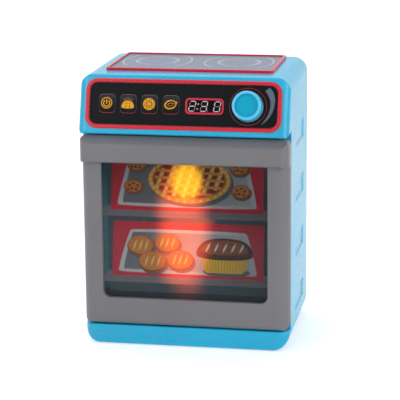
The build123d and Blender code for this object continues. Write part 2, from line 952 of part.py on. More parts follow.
def make_chamber():
    rear = front_plane(chamber_depth + back_thickness)
    with BuildPart() as chamber_back:
        with BuildSketch(front_plane(chamber_depth)):
            with Locations((0, chamber_middle)):
                Rectangle(
                    chamber_width + 2 * chamber_wall,
                    chamber_height + 2 * chamber_wall,
                )
            with Locations(*chamber_screw_places()):
                Circle(chamber_boss_radius)
        extrude(amount=-back_thickness)
        for name in shelf_tops:
            for side in (-1, 1):
                outline = Pos(side * rib_place, 0, 0) * rib_outline(name)
                extrude(outline, amount=rib_width / 2, both=True)
        with BuildSketch(front_plane(chamber_depth)):
            with Locations(*chamber_screw_places()):
                Circle(screw_radius + screw_play)
        extrude(amount=-back_thickness, mode=Mode.SUBTRACT)
        with BuildSketch(front_plane(chamber_depth)):
            with Locations(*lamp_places()):
                Circle(lamp_radius + lamp_gap)
        extrude(amount=-back_thickness, mode=Mode.SUBTRACT)
        for top in shelf_tops.values():
            with BuildSketch(front_plane(chamber_depth)):
                with Locations((0, top - shelf_thickness / 2)):
                    with GridLocations(2 * shelf_tab_place, 1, 2, 1):
                        Rectangle(
                            shelf_tab_width + 2 * shelf_clearance,
                            shelf_thickness + 2 * shelf_clearance,
                        )
            extrude(amount=-back_thickness, mode=Mode.SUBTRACT)
        with BuildSketch(rear):
            with Locations(*lamp_screw_places()):
                Circle(chamber_boss_radius)
        extrude(amount=-lamp_board_gap)
        with BuildSketch(rear.offset(-lamp_board_gap)):
            with Locations(*lamp_screw_places()):
                Circle(door_screw_radius + screw_play)
        extrude(amount=lamp_board_gap, mode=Mode.SUBTRACT)
    finish(chamber_back, "chamber_back")

    with BuildPart() as chamber_screws:
        seat = y_of(chamber_depth + back_thickness)
        with Locations(*[(x, seat, z) for x, z in chamber_screw_places()]):
            add(screw(screw_radius, screw_bite, screw_head_radius, screw_head_height))
    finish(chamber_screws, "chamber_screws")

    for name, top in shelf_tops.items():
        make_shelf(name, top)
        make_card(name, top)


def make_shelf(name, top):
    length = chamber_depth - shelf_front
    width = chamber_width - 2 * shelf_clearance
    with BuildPart() as shelf:
        with Locations((0, y_of(shelf_front), top)):
            Box(width, length, shelf_thickness, align=(Align.CENTER, Align.MIN, Align.MAX))
            Box(width, wall, shelf_lip, align=(Align.CENTER, Align.MIN, Align.MAX))
        fillet(
            shelf.edges().filter_by(Axis.X).group_by(Axis.Y)[0],
            shelf_thickness / 4,
        )
        with Locations((0, y_of(chamber_depth), top)):
            with GridLocations(2 * shelf_tab_place, 1, 2, 1):
                Box(
                    shelf_tab_width,
                    back_thickness,
                    shelf_thickness,
                    align=(Align.CENTER, Align.MIN, Align.MAX),
                )
        # Ridges in front of the card and behind it
        lean = radians(card_tilt)
        before = card_depth - card_gap
        behind = card_depth + card_thickness / cos(lean) + stop_width + 3 * card_gap
        for place in (before, behind):
            with Locations((0, y_of(place), top)):
                Box(
                    card_width,
                    stop_width,
                    stop_height,
                    align=(Align.CENTER, Align.MAX, Align.MIN),
                )
    finish(shelf, f"{name}_shelf")


def make_card(name, top):
    lean = radians(card_tilt)
    with BuildPart() as card:
        foot = Plane(
            origin=(0, y_of(card_depth), top + card_gap + card_thickness * sin(lean)),
            x_dir=(1, 0, 0),
            z_dir=(0, cos(lean), -sin(lean)),
        )
        with BuildSketch(foot):
            Rectangle(card_width, card_heights[name], align=(Align.CENTER, Align.MAX))
        extrude(amount=card_thickness)
        upright = card.edges().filter_by(Axis.Y, tolerance=20)
        fillet(upright.group_by(Axis.Z)[-1], card_corner)
    finish(card, f"{name}_card")


def make_lamps():
    front = front_plane(chamber_depth + back_thickness + lamp_board_gap)
    with BuildPart() as lamp_board:
        with BuildSketch(front):
            with Locations((0, lamp_board_middle())):
                RectangleRounded(lamp_board_width, lamp_board_height(), 1)
            with Locations(*lamp_screw_places()):
                Circle(door_screw_radius + screw_play, mode=Mode.SUBTRACT)
        extrude(amount=-board_thickness)
    finish(lamp_board, "lamp_board")

    with BuildPart() as lamps:
        with BuildSketch(front):
            with Locations(*lamp_places()):
                Circle(lamp_radius)
        extrude(amount=lamp_length)
        fillet(lamps.edges().group_by(Axis.Y)[0], 0.95 * lamp_radius)
        with BuildSketch(front):
            with Locations(*lamp_places()):
                Circle(lamp_radius + 0.5)
        extrude(amount=1)
    finish(lamps, "lamps")

    with BuildPart() as lamp_screws:
        seat = y_of(chamber_depth + back_thickness + lamp_board_gap + board_thickness)
        with Locations(*[(x, seat, z) for x, z in lamp_screw_places()]):
            add(screw(door_screw_radius, board_thickness + lamp_board_gap, 2 * door_screw_radius, 1.4))
    finish(lamp_screws, "lamp_screws")


# ---- Hob ----
def hob_peg_places():
    x = hob_width / 2 - hob_peg_inset
    return [(sx * x, y_of(depth)) for sx in (-1, 1) for depth in hob_peg_depths]


def hob_outline(inset, z):
    with BuildSketch(Plane.XY.offset(z)) as outline:
        with Locations((0, y_of((hob_front + hob_back) / 2))):
            RectangleRounded(
                hob_width - 2 * inset,
                hob_back - hob_front - 2 * inset,
                max(hob_radius - inset, hob_inner_radius),
            )
    return outline.sketch


def cut_hob_seat():
    """Shallow seat of the hob and the holes of its pegs, cut through the top wall."""
    seat = hob_outline(-hob_clearance, body_top - hob_seat)
    extrude(seat, amount=2 * hob_seat, mode=Mode.SUBTRACT)
    with BuildSketch(Plane.XY.offset(body_top)) as holes:
        with Locations(*hob_peg_places()):
            Circle(hob_peg_radius + screw_play)
    extrude(holes.sketch, amount=-2 * wall, mode=Mode.SUBTRACT)


def make_hob():
    seat = body_top - hob_seat
    with BuildPart() as hob_rim:
        extrude(hob_outline(0, seat), amount=hob_rise + hob_seat)
        fillet(hob_rim.edges().group_by(Axis.Z)[-1], hob_edge)
        extrude(hob_outline(hob_band, seat + hob_ledge), amount=2 * hob_rise, mode=Mode.SUBTRACT)
        extrude(hob_outline(hob_band + hob_ledge_width, seat), amount=hob_rise, mode=Mode.SUBTRACT)
        with BuildSketch(Plane.XY.offset(seat)):
            with Locations(*hob_peg_places()):
                Circle(hob_peg_radius)
        extrude(amount=-hob_peg_length)
    finish(hob_rim, "hob_rim")

    with BuildPart() as hob_plate:
        extrude(hob_outline(hob_band + hob_clearance, seat + hob_ledge), amount=hob_plate_thickness)
        extrude(
            hob_outline(hob_band + hob_ledge_width + hob_clearance, seat),
            amount=hob_ledge,
        )
    finish(hob_plate, "hob_plate")


# ---- Control panel ----
def knob_place():
    return (knob_x, 0)


def make_panel():
    with BuildPart() as control_panel:
        with BuildSketch(panel_plane()):
            RectangleRounded(panel_width, panel_height, panel_radius)
        extrude(amount=-panel_thickness)
        with BuildSketch(panel_plane()):
            with Locations(*key_places):
                RectangleRounded(
                    key_width + 2 * key_gap,
                    key_height + 2 * key_gap,
                    key_radius + key_gap,
                )
            with Locations(knob_place()):
                Circle(shaft_radius + 1)
            with Locations(display_place):
                RectangleRounded(
                    display_width - 2 * display_ledge,
                    display_height - 2 * display_ledge,
                    display_radius / 2,
                )
        extrude(amount=-panel_thickness, mode=Mode.SUBTRACT)
        with BuildSketch(panel_plane()):
            with Locations(display_place):
                RectangleRounded(display_width, display_height, display_radius)
        extrude(amount=-lens_thickness, mode=Mode.SUBTRACT)
    finish(control_panel, "control_panel")

    with BuildPart() as panel_ring:
        with BuildSketch(panel_plane()):
            RectangleRounded(ring_width, ring_outer_height, panel_radius + ring_band)
            RectangleRounded(
                panel_width - ring_cover,
                panel_height - ring_cover,
                panel_radius,
                mode=Mode.SUBTRACT,
            )
        extrude(amount=ring_height)
        fillet(panel_ring.edges().group_by(panel_height_of)[-1], ring_edge)
        with BuildSketch(panel_plane()):
            with GridLocations(ring_peg_span, panel_height + ring_band + 2 * panel_clearance, 3, 2):
                Circle(ring_peg_radius)
        extrude(amount=-ring_peg_length)
    finish(panel_ring, "panel_ring")


def cut_ring_peg_holes():
    with BuildSketch(panel_plane()) as holes:
        with GridLocations(ring_peg_span, panel_height + ring_band + 2 * panel_clearance, 3, 2):
            Circle(ring_peg_radius + screw_play)
    extrude(holes.sketch, amount=-(ring_peg_length + screw_play), mode=Mode.SUBTRACT)


def make_keys():
    top = -board_drop + switch_body_height + switch_button_rise
    underside = -(panel_thickness + key_seat)
    for name, place in zip(key_names, key_places):
        with BuildPart() as key:
            with BuildSketch(panel_plane(underside)):
                with Locations(place):
                    RectangleRounded(key_width, key_height, key_radius)
            extrude(amount=key_proud - underside)
            fillet(key.edges().group_by(panel_height_of)[-1], key_edge)
            with BuildSketch(panel_plane(underside)):
                with Locations(place):
                    RectangleRounded(
                        key_width + 2 * key_flange,
                        key_height + 2 * key_flange,
                        key_radius + key_flange,
                    )
            extrude(amount=-key_flange_thickness)
            with BuildSketch(panel_plane(underside)):
                with Locations(place):
                    Circle(key_stem_radius)
            extrude(amount=top - underside)
        finish(key, f"{name}_key")

        with BuildPart() as plunger:
            with BuildSketch(panel_plane(top)):
                with Locations(place):
                    Circle(switch_button_radius)
            extrude(amount=-plunger_length)
        finish(plunger, f"{name}_switch_plunger")


def make_display():
    with BuildPart() as display_lens:
        with BuildSketch(panel_plane()):
            with Locations(display_place):
                RectangleRounded(
                    display_width - 2 * lens_gap,
                    display_height - 2 * lens_gap,
                    display_radius - lens_gap,
                )
        extrude(amount=-lens_thickness)
    finish(display_lens, "display_lens")

    with BuildPart() as display_frame:
        with BuildSketch(panel_plane()):
            with Locations(display_place):
                RectangleRounded(
                    display_width + 2 * display_band,
                    display_height + 2 * display_band,
                    display_radius + display_band,
                )
                RectangleRounded(
                    display_width - 2 * lens_gap,
                    display_height - 2 * lens_gap,
                    display_radius,
                    mode=Mode.SUBTRACT,
                )
        extrude(amount=display_rise)
    finish(display_frame, "display_frame")

    with BuildPart() as display_module:
        with BuildSketch(panel_plane(-panel_thickness - key_seat)):
            with Locations(display_place):
                Rectangle(display_width - display_ledge, display_height)
        extrude(amount=-(board_drop - panel_thickness - key_seat))
    finish(display_module, "display_module")


def make_knob():
    face = panel_plane()
    foot = knob_gap
    with BuildPart() as knob:
        with BuildSketch(panel_plane(foot)):
            with Locations(knob_place()):
                Circle(knob_base_radius)
        with BuildSketch(panel_plane(knob_height)):
            with Locations(knob_place()):
                Circle(knob_face_radius)
        loft()
        rims = knob.edges().filter_by(GeomType.CIRCLE)
        fillet(rims.group_by(panel_height_of)[-1], knob_edge)
        with BuildSketch(panel_plane(knob_height)):
            with Locations(knob_place()):
                Circle(knob_recess_radius)
        extrude(amount=-knob_recess_depth - knob_cap_thickness, mode=Mode.SUBTRACT)
        with BuildSketch(panel_plane(foot)):
            with Locations(knob_place()):
                Circle(knob_base_radius - knob_wall)
                Circle(hub_radius, mode=Mode.SUBTRACT)
        hollow = knob_height - knob_recess_depth - knob_cap_thickness - knob_wall - foot
        extrude(amount=hollow, mode=Mode.SUBTRACT)
        with BuildSketch(panel_plane(foot)):
            with Locations(knob_place()):
                Circle(shaft_radius)
        extrude(amount=shaft_grip, mode=Mode.SUBTRACT)
    finish(knob, "knob")

    with BuildPart() as knob_cap:
        with BuildSketch(panel_plane(knob_height - knob_recess_depth)):
            with Locations(knob_place()):
                Circle(knob_recess_radius - cap_gap)
        extrude(amount=-knob_cap_thickness)
    finish(knob_cap, "knob_cap")

    with BuildPart() as knob_ring:
        with BuildSketch(face):
            with Locations(knob_place()):
                Circle(knob_ring_radius)
                Circle(knob_ring_radius - knob_ring_band, mode=Mode.SUBTRACT)
        extrude(amount=trim_height)
    finish(knob_ring, "knob_ring")

    bottom = -board_drop + rotary_floor
    with BuildPart() as rotary_shaft:
        with BuildSketch(panel_plane(bottom)):
            with Locations(knob_place()):
                Circle(shaft_radius)
        extrude(amount=foot + shaft_grip - bottom)
    finish(rotary_shaft, "rotary_shaft")

    with BuildPart() as rotary_switch:
        with BuildSketch(panel_plane(-board_drop)):
            with Locations(knob_place()):
                RectangleRounded(rotary_size, rotary_size, 1)
        extrude(amount=rotary_height)
        with BuildSketch(panel_plane(bottom)):
            with Locations(knob_place()):
                Circle(shaft_radius + shaft_play)
        extrude(amount=rotary_height, mode=Mode.SUBTRACT)
    finish(rotary_switch, "rotary_switch")


def make_board():
    with BuildPart() as control_board:
        with BuildSketch(panel_plane(-board_drop)):
            RectangleRounded(board_width, board_height, 2)
            with GridLocations(2 * board_post_x, 2 * board_post_y, 2, 2):
                Circle(screw_radius + screw_play, mode=Mode.SUBTRACT)
        extrude(amount=-board_thickness)
    finish(control_board, "control_board")

    with BuildPart() as key_switches:
        with BuildSketch(panel_plane(-board_drop)):
            with Locations(*key_places):
                Rectangle(switch_body, switch_body)
        extrude(amount=switch_body_height)
        with BuildSketch(panel_plane(-board_drop + switch_floor)):
            with Locations(*key_places):
                Circle(switch_button_radius + shaft_play)
        extrude(amount=switch_body_height, mode=Mode.SUBTRACT)
    finish(key_switches, "key_switches")

    one_screw = Rotation(-panel_tilt, 0, 0) * screw(
        screw_radius, board_screw_length, screw_head_radius, screw_head_height
    )
    seat = panel_plane(-board_drop - board_thickness)
    with BuildPart() as board_screws:
        for sx in (-1, 1):
            for sy in (-1, 1):
                spot = seat.from_local_coords((sx * board_post_x, sy * board_post_y, 0))
                add(Pos(*spot) * one_screw)
    finish(board_screws, "board_screws")


# ---- Rear fittings ----
def make_speaker():
    back = front_plane(body_depth - wall)
    rim = speaker_radius - speaker_flange
    basket = speaker_depth - magnet_height
    with BuildPart() as speaker_frame:
        with BuildSketch(back):
            with Locations((0, speaker_z)):
                Circle(speaker_radius)
        extrude(amount=speaker_flange)
        with BuildSketch(back.offset(speaker_flange)):
            with Locations((0, speaker_z)):
                Circle(rim)
        with BuildSketch(back.offset(basket)):
            with Locations((0, speaker_z)):
                Circle(magnet_radius)
        loft()
        with BuildSketch(back):
            with Locations((0, speaker_z)):
                Circle(rim - speaker_flange)
        with BuildSketch(back.offset(basket - speaker_flange)):
            with Locations((0, speaker_z)):
                Circle(magnet_radius - speaker_flange)
        loft(mode=Mode.SUBTRACT)
        # Step that the cone's edge is glued to
        with BuildSketch(back):
            with Locations((0, speaker_z)):
                Circle(rim)
        extrude(amount=cone_thickness, mode=Mode.SUBTRACT)
        with BuildSketch(back.offset(basket)):
            with Locations((0, speaker_z)):
                Circle(magnet_radius)
        extrude(amount=magnet_height)
    finish(speaker_frame, "speaker_frame")

    with BuildPart() as speaker_cone:
        with BuildSketch(back):
            with Locations((0, speaker_z)):
                Circle(rim - cap_gap)
        extrude(amount=cone_thickness)
        with BuildSketch(back):
            with Locations((0, speaker_z)):
                Circle(cone_radius)
        with BuildSketch(back.offset(cone_drop + cone_thickness)):
            with Locations((0, speaker_z)):
                Circle(dust_cap_radius)
        loft()
        with BuildSketch(back):
            with Locations((0, speaker_z)):
                Circle(cone_radius - cone_thickness)
        with BuildSketch(back.offset(cone_drop)):
            with Locations((0, speaker_z)):
                Circle(dust_cap_radius - cone_thickness)
        loft(mode=Mode.SUBTRACT)
    finish(speaker_cone, "speaker_cone")


def make_batteries():
    middle_z = bay_bottom + bay_end_room + cell_length / 2
    axis_y = y_of(bay_floor + bay_side_room / 2 + cell_radius)
    with BuildPart() as battery_cells:
        for turn, x in zip((1, -1, 1), cell_places):
            base = Plane(
                origin=(x, axis_y, middle_z - turn * cell_length / 2),
                z_dir=(0, 0, turn),
            )
            with BuildSketch(base):
                Circle(cell_radius)
            extrude(amount=cell_length)
            with BuildSketch(base.offset(cell_length)):
                Circle(nub_radius)
            extrude(amount=nub_height)
    finish(battery_cells, "battery_cells")

    # Plates at the bay's ends; a spring coil stands on each at a cell's flat end
    with BuildPart() as battery_contacts:
        for turn, x in zip((1, -1, 1), cell_places):
            for end in (-1, 1):
                wall_z = bay_bottom if end < 0 else bay_top
                plate = Plane(
                    origin=(x, axis_y, wall_z),
                    z_dir=(0, 0, -end),
                )
                with BuildSketch(plate):
                    Rectangle(contact_width, contact_width)
                extrude(amount=contact_thickness)
                reach = abs(wall_z - (middle_z + end * cell_length / 2))
                if turn == end:
                    reach -= nub_height
                with BuildSketch(plate):
                    Circle(contact_width / 3)
                    Circle(contact_width / 6, mode=Mode.SUBTRACT)
                with BuildSketch(plate.offset(reach)):
                    Circle(contact_width / 5)
                    Circle(contact_width / 10, mode=Mode.SUBTRACT)
                loft()
    finish(battery_contacts, "battery_contacts")

    back = front_plane(body_depth)
    with BuildPart() as battery_hatch:
        with BuildSketch(back):
            with Locations((0, (hatch_bottom + hatch_top) / 2)):
                RectangleRounded(
                    hatch_width - 2 * hatch_gap,
                    hatch_top - hatch_bottom - 2 * hatch_gap,
                    hatch_radius - hatch_gap,
                )
        extrude(amount=hatch_thickness)
        with BuildSketch(front_plane(body_depth - hatch_thickness)):
            for side in (-1, 1):
                with Locations((side * hatch_tab_place, hatch_bottom)):
                    Rectangle(hatch_tab_width, 2 * hatch_tab_drop)
        extrude(amount=hatch_tab_thickness)
        with BuildSketch(back):
            with Locations((0, hatch_screw_z)):
                Circle(screw_radius + screw_play)
        extrude(amount=hatch_thickness, mode=Mode.SUBTRACT)
        with BuildSketch(back):
            with Locations((0, hatch_screw_z)):
                Circle(screw_head_radius + hatch_gap)
        extrude(amount=hatch_head_seat, mode=Mode.SUBTRACT)
        with BuildSketch(back):
            with GridLocations(1, hatch_groove_pitch, 1, 5):
                with Locations((0, (bay_bottom + bay_top) / 2)):
                    Rectangle(hatch_groove_length, hatch_groove_width)
        extrude(amount=hatch_groove_depth, mode=Mode.SUBTRACT)
    finish(battery_hatch, "battery_hatch")

    with BuildPart() as hatch_screw:
        with Locations((0, y_of(body_depth - hatch_head_seat), hatch_screw_z)):
            add(screw(screw_radius, screw_bite, screw_head_radius, screw_head_height / 2))
    finish(hatch_screw, "hatch_screw")


def make_power_switch():
    inner = front_plane(body_depth - slide_recess - slide_floor)
    with BuildPart() as power_switch:
        with BuildSketch(inner):
            with Locations((slide_x, slide_z)):
                Rectangle(slide_body_width, slide_body_height)
        extrude(amount=slide_body_depth)
        with BuildSketch(inner):
            with Locations((slide_x, slide_z)):
                Rectangle(
                    slider_width + slide_travel + 2 * slider_clearance,
                    slider_height + 2 * slider_clearance,
                )
        extrude(amount=slide_body_depth - wall, mode=Mode.SUBTRACT)
    finish(power_switch, "power_switch")

    with BuildPart() as power_slider:
        with BuildSketch(front_plane(body_depth - slider_proud)):
            with Locations((slide_x - slide_travel / 2, slide_z)):
                Rectangle(slider_width, slider_height)
        depth = slide_recess + slide_floor - slider_proud + slide_body_depth - wall
        extrude(amount=depth - slider_clearance)
        outer = power_slider.edges().group_by(Axis.Y)[-1]
        fillet(outer, slider_proud)
    finish(power_slider, "power_slider")


os.makedirs("parts", exist_ok=True)
make_front_housing()
make_rear_housing()
make_housing_fasteners()
make_door()
make_chamber()
make_lamps()
make_hob()
make_panel()
make_keys()
make_display()
make_knob()
make_board()
make_speaker()
make_batteries()
make_power_switch()
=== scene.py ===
import math

import bmesh
import bpy
import mathutils
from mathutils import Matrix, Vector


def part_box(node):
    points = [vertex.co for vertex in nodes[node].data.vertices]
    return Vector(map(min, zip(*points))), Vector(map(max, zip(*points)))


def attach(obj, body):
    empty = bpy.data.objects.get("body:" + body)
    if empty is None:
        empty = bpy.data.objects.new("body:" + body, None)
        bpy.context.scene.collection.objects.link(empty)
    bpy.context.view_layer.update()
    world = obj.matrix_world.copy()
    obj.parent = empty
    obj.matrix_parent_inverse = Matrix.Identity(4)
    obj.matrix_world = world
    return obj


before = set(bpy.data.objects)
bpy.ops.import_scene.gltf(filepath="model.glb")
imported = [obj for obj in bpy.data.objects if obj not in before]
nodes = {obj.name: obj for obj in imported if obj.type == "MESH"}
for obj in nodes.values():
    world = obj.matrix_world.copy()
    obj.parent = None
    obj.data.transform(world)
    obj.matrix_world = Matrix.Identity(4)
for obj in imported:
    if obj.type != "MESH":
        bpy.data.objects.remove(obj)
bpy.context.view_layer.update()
mm = 0.001

# Measures of the oven in the shared frame; a depth counts back from the closed door's face
layout = {
    "paneDepth": 4.4,
    "panelDepth": 1.6,
    "panelHeight": 236.4,
    "panelTilt": 17.0,
}
middleDepth = layout["paneDepth"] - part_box("door_window")[0][1] / mm
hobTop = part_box("hob_plate")[1][2] / mm


def place(x, depth, z):
    return mathutils.Vector((x * mm, (depth - middleDepth) * mm, z * mm))


panelTilt = math.radians(layout["panelTilt"])
panelUp = mathutils.Vector((0, math.sin(panelTilt), math.cos(panelTilt)))
panelOut = mathutils.Vector((0, -math.cos(panelTilt), math.sin(panelTilt)))
panelOrigin = place(0, layout["panelDepth"], layout["panelHeight"])


def onPanel(x, s, out=0.0):
    # s counts up the slope from the panel's middle
    return panelOrigin + mathutils.Vector((x * mm, 0, 0)) + panelUp * (s * mm) + panelOut * (out * mm)


print("stage: frame loaded")


# ---- small helpers for node materials ----
class Nodes:
    def __init__(self, name):
        self.material = bpy.data.materials.new(name)
        self.material.use_nodes = True
        self.tree = self.material.node_tree
        self.shader = self.tree.nodes["Principled BSDF"]
        self.coords = None

    def add(self, kind, **settings):
        node = self.tree.nodes.new(kind)
        for key, value in settings.items():
            setattr(node, key, value)
        return node

    def link(self, source, target):
        self.tree.links.new(source, target)

    def objectCoords(self):
        if self.coords is None:
            self.coords = self.add("ShaderNodeTexCoord")
        return self.coords.outputs["Object"]

    def noise(self, scale, detail=3.0, rough=0.5, stretch=None):
        node = self.add("ShaderNodeTexNoise")
        node.inputs["Scale"].default_value = scale
        node.inputs["Detail"].default_value = detail
        node.inputs["Roughness"].default_value = rough
        source = self.objectCoords()
        if stretch:
            mapping = self.add("ShaderNodeMapping")
            mapping.inputs["Scale"].default_value = stretch
            self.link(source, mapping.inputs["Vector"])
            source = mapping.outputs["Vector"]
        self.link(source, node.inputs["Vector"])
        return node.outputs["Fac"]

    def math(self, operation, a, b=None, clamp=False):
        node = self.add("ShaderNodeMath", operation=operation, use_clamp=clamp)
        for index, value in enumerate((a, b)):
            if value is None:
                continue
            if isinstance(value, (int, float)):
                node.inputs[index].default_value = value
            else:
                self.link(value, node.inputs[index])
        return node.outputs[0]

    def product(self, first, *others):
        for value in others:
            first = self.math("MULTIPLY", first, value)
        return first

    def fit(self, value, low, high, toLow=0.0, toHigh=1.0, smooth=False):
        node = self.add("ShaderNodeMapRange")
        if smooth:
            node.interpolation_type = "SMOOTHSTEP"
        self.link(value, node.inputs["Value"])
        node.inputs["From Min"].default_value = low
        node.inputs["From Max"].default_value = high
        node.inputs["To Min"].default_value = toLow
        node.inputs["To Max"].default_value = toHigh
        return node.outputs["Result"]

    def mix(self, factor, first, second):
        node = self.add("ShaderNodeMix", data_type="RGBA")
        for socket, value in zip((node.inputs[0], node.inputs[6], node.inputs[7]), (factor, first, second)):
            if isinstance(value, (int, float)):
                socket.default_value = value
            elif isinstance(value, (tuple, list)):
                socket.default_value = (*value[:3], 1.0)
            else:
                self.link(value, socket)
        return node.outputs[2]

    def bump(self, height, strength=0.1, distance=0.001):
        node = self.add("ShaderNodeBump")
        node.inputs["Strength"].default_value = strength
        node.inputs["Distance"].default_value = distance
        self.link(height, node.inputs["Height"])
        self.link(node.outputs["Normal"], self.shader.inputs["Normal"])
        return node


def rgb(r, g, b):
    # a colour as seen on screen, turned into the linear values the shader wants
    return tuple(((c / 255 + 0.055) / 1.055) ** 2.4 if c > 10 else c / 255 / 12.92 for c in (r, g, b))


def heightOf(m):
    split = m.add("ShaderNodeSeparateXYZ")
    m.link(m.objectCoords(), split.inputs[0])
    return split.outputs["Z"]


def mouldedPlastic(name, colour, roughness, grain=900, grainStrength=0.05, drift=0.06, coat=0.0, specular=0.5):
    # injection-moulded plastic: fine pebble, slow drift in colour and gloss
    m = Nodes(name)
    slow = m.noise(9, 2)
    fine = m.noise(grain, 2, 0.6)
    dark = tuple(c * (1 - drift) for c in colour)
    light = tuple(min(1, c * (1 + drift) + 0.002) for c in colour)
    m.link(m.mix(m.fit(slow, 0.35, 0.65), dark, light), m.shader.inputs["Base Color"])
    wear = m.math("ADD", m.fit(slow, 0.3, 0.7, roughness - 0.04, roughness + 0.04), m.fit(fine, 0.3, 0.7, -0.03, 0.03))
    m.link(wear, m.shader.inputs["Roughness"])
    m.bump(fine, grainStrength, 0.0002)
    m.shader.inputs["Coat Weight"].default_value = coat
    m.shader.inputs["Coat Roughness"].default_value = 0.12
    m.shader.inputs["Specular IOR Level"].default_value = specular
    return m


def dress(nodeNames, material):
    for name in nodeNames:
        mesh = nodes[name].data
        if not mesh.materials:
            mesh.materials.append(material)
        for index in range(len(mesh.materials)):
            mesh.materials[index] = material


def flatShape(name, outline, spot, out, material, body):
    # a printed or inlaid patch: outline is a list of (x, s) in millimetres on the surface given by spot
    mesh = bpy.data.meshes.new(name)
    work = bmesh.new()
    loops = outline if isinstance(outline[0], list) else [outline]
    for points in loops:
        work.faces.new([work.verts.new(spot(x, s, out)) for x, s in points])
    bmesh.ops.triangulate(work, faces=work.faces[:])
    work.to_mesh(mesh)
    work.free()
    piece = bpy.data.objects.new(name, mesh)
    bpy.context.scene.collection.objects.link(piece)
    mesh.materials.append(material)
    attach(piece, body)
    return piece


def bandShape(name, inner, outer, spot, out, material, body, slotName, closed=True):
    # a strip between two outlines with the same number of points
    mesh = bpy.data.meshes.new(name)
    work = bmesh.new()
    first = [work.verts.new(spot(x, s, out)) for x, s in inner]
    second = [work.verts.new(spot(x, s, out)) for x, s in outer]
    count = len(first)
    for i in range(count if closed else count - 1):
        j = (i + 1) % count
        work.faces.new((first[i], first[j], second[j], second[i]))
    work.to_mesh(mesh)
    work.free()
    piece = bpy.data.objects.new(name, mesh)
    bpy.context.scene.collection.objects.link(piece)
    mesh.materials.append(material)
    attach(piece, body)
    return piece


def ellipse(cx, cy, rx, ry, start=0.0, end=360.0, count=48, lean=0.0):
    points = []
    for i in range(count + (0 if end - start >= 360 else 1)):
        a = math.radians(start + (end - start) * i / count)
        x, y = rx * math.cos(a), ry * math.sin(a)
        c, s = math.cos(math.radians(lean)), math.sin(math.radians(lean))
        points.append((cx + x * c - y * s, cy + x * s + y * c))
    return points


def roundedBox(cx, cy, width, height, radius, count=6):
    points = []
    for qx, qy, a0 in ((1, 1, 0), (-1, 1, 90), (-1, -1, 180), (1, -1, 270)):
        for i in range(count + 1):
            a = math.radians(a0 + 90 * i / count)
            points.append((
                cx + qx * (width / 2 - radius) + radius * math.cos(a),
                cy + qy * (height / 2 - radius) + radius * math.sin(a),
            ))
    return points


def blob(points, rounds=3):
    # soft outline through a few corner points
    for _ in range(rounds):
        fresh = []
        for i, p in enumerate(points):
            q = points[(i + 1) % len(points)]
            fresh.append((p[0] * 0.75 + q[0] * 0.25, p[1] * 0.75 + q[1] * 0.25))
            fresh.append((p[0] * 0.25 + q[0] * 0.75, p[1] * 0.25 + q[1] * 0.75))
        points = fresh
    return points


def strokeShape(points, width):
    # an open line thickened to a strip, as (inner, outer) outlines
    left, right = [], []
    for i, p in enumerate(points):
        a = points[max(0, i - 1)]
        b = points[min(len(points) - 1, i + 1)]
        dx, dy = b[0] - a[0], b[1] - a[1]
        size = math.hypot(dx, dy) or 1
        w = width(i / (len(points) - 1)) if callable(width) else width
        left.append((p[0] - dy / size * w / 2, p[1] + dx / size * w / 2))
        right.append((p[0] + dy / size * w / 2, p[1] - dx / size * w / 2))
    return left, right


# ---- body and door ----
shellLook = {
    "colour": rgb(0, 180, 224), "roughness": 0.28, "coat": 0.1,
    "chamberHalf": 88 * mm, "chamberFront": place(0, 4, 0)[1], "chamberEnd": place(0, 46, 0)[1],
    # the sill colour is painted shade, the spill is painted lamp light as emission, the pocket colour is a painted
    # sheen
    "sillShade": rgb(30, 46, 52), "sillFoot": 26 * mm, "sillTop": 46 * mm,
    "paintedLampSpill": (0.05, 0.09, 0.09), "wallTop": 178 * mm,
    "pocket": rgb(176, 226, 242), "pocketFloor": 98.4 * mm, "pocketFront": place(0, 45, 0)[1], "pocketPale": 0.5,
}
doorLook = {"colour": rgb(120, 119, 123), "roughness": 0.4}
trimLook = {"colour": rgb(216, 22, 50), "frame": rgb(206, 34, 66), "roughness": 0.26}


def shellPlastic():
    # blue plastic: painted shade darkens the chamber's sill behind the pane, painted lamp light (emission)
    # lights the chamber's side walls a little, and a painted sheen makes the side pockets' rear slopes paler
    look = shellLook
    m = mouldedPlastic("blueShell", look["colour"], look["roughness"], grainStrength=0.04, coat=look["coat"])
    split = m.add("ShaderNodeSeparateXYZ")
    m.link(m.objectCoords(), split.inputs[0])
    x, y, z = m.math("ABSOLUTE", split.outputs["X"]), split.outputs["Y"], split.outputs["Z"]
    chamber = m.product(
        m.fit(x, look["chamberHalf"], look["chamberHalf"] - mm),
        m.fit(y, look["chamberFront"], look["chamberFront"] + 2 * mm),
        m.fit(y, look["chamberEnd"] + 2 * mm, look["chamberEnd"]),
    )
    # painted shade: the sill inside the chamber is darkened towards a shade colour
    sillShadeMask = m.product(chamber, m.fit(z, look["sillTop"] + 6 * mm, look["sillTop"]),
                       m.fit(z, look["sillFoot"], look["sillFoot"] + mm))
    # painted lamp light: the chamber's side walls get a faint emission
    lampSpillMask = m.product(chamber, m.fit(z, look["sillTop"], look["sillTop"] + 25 * mm),
                       m.fit(z, look["wallTop"], look["wallTop"] - 50 * mm))
    m.link(m.mix(lampSpillMask, (0, 0, 0), look["paintedLampSpill"]), m.shader.inputs["Emission Color"])
    m.shader.inputs["Emission Strength"].default_value = 1.0
    facing = m.add("ShaderNodeSeparateXYZ")
    m.link(m.coords.outputs["Normal"], facing.inputs[0])
    # painted sheen: the pockets' rear slopes, which face forward, are made paler
    pocketSheenMask = m.product(
        m.fit(facing.outputs["Y"], -0.3, -0.6),
        m.fit(x, look["pocketFloor"], look["pocketFloor"] + 0.3 * mm),
        m.fit(y, look["pocketFront"], look["pocketFront"] + 2 * mm, 0, look["pocketPale"]),
    )
    base = m.shader.inputs["Base Color"].links[0].from_socket
    m.link(m.mix(pocketSheenMask, m.mix(sillShadeMask, base, look["sillShade"]), look["pocket"]), m.shader.inputs["Base Color"])
    return m


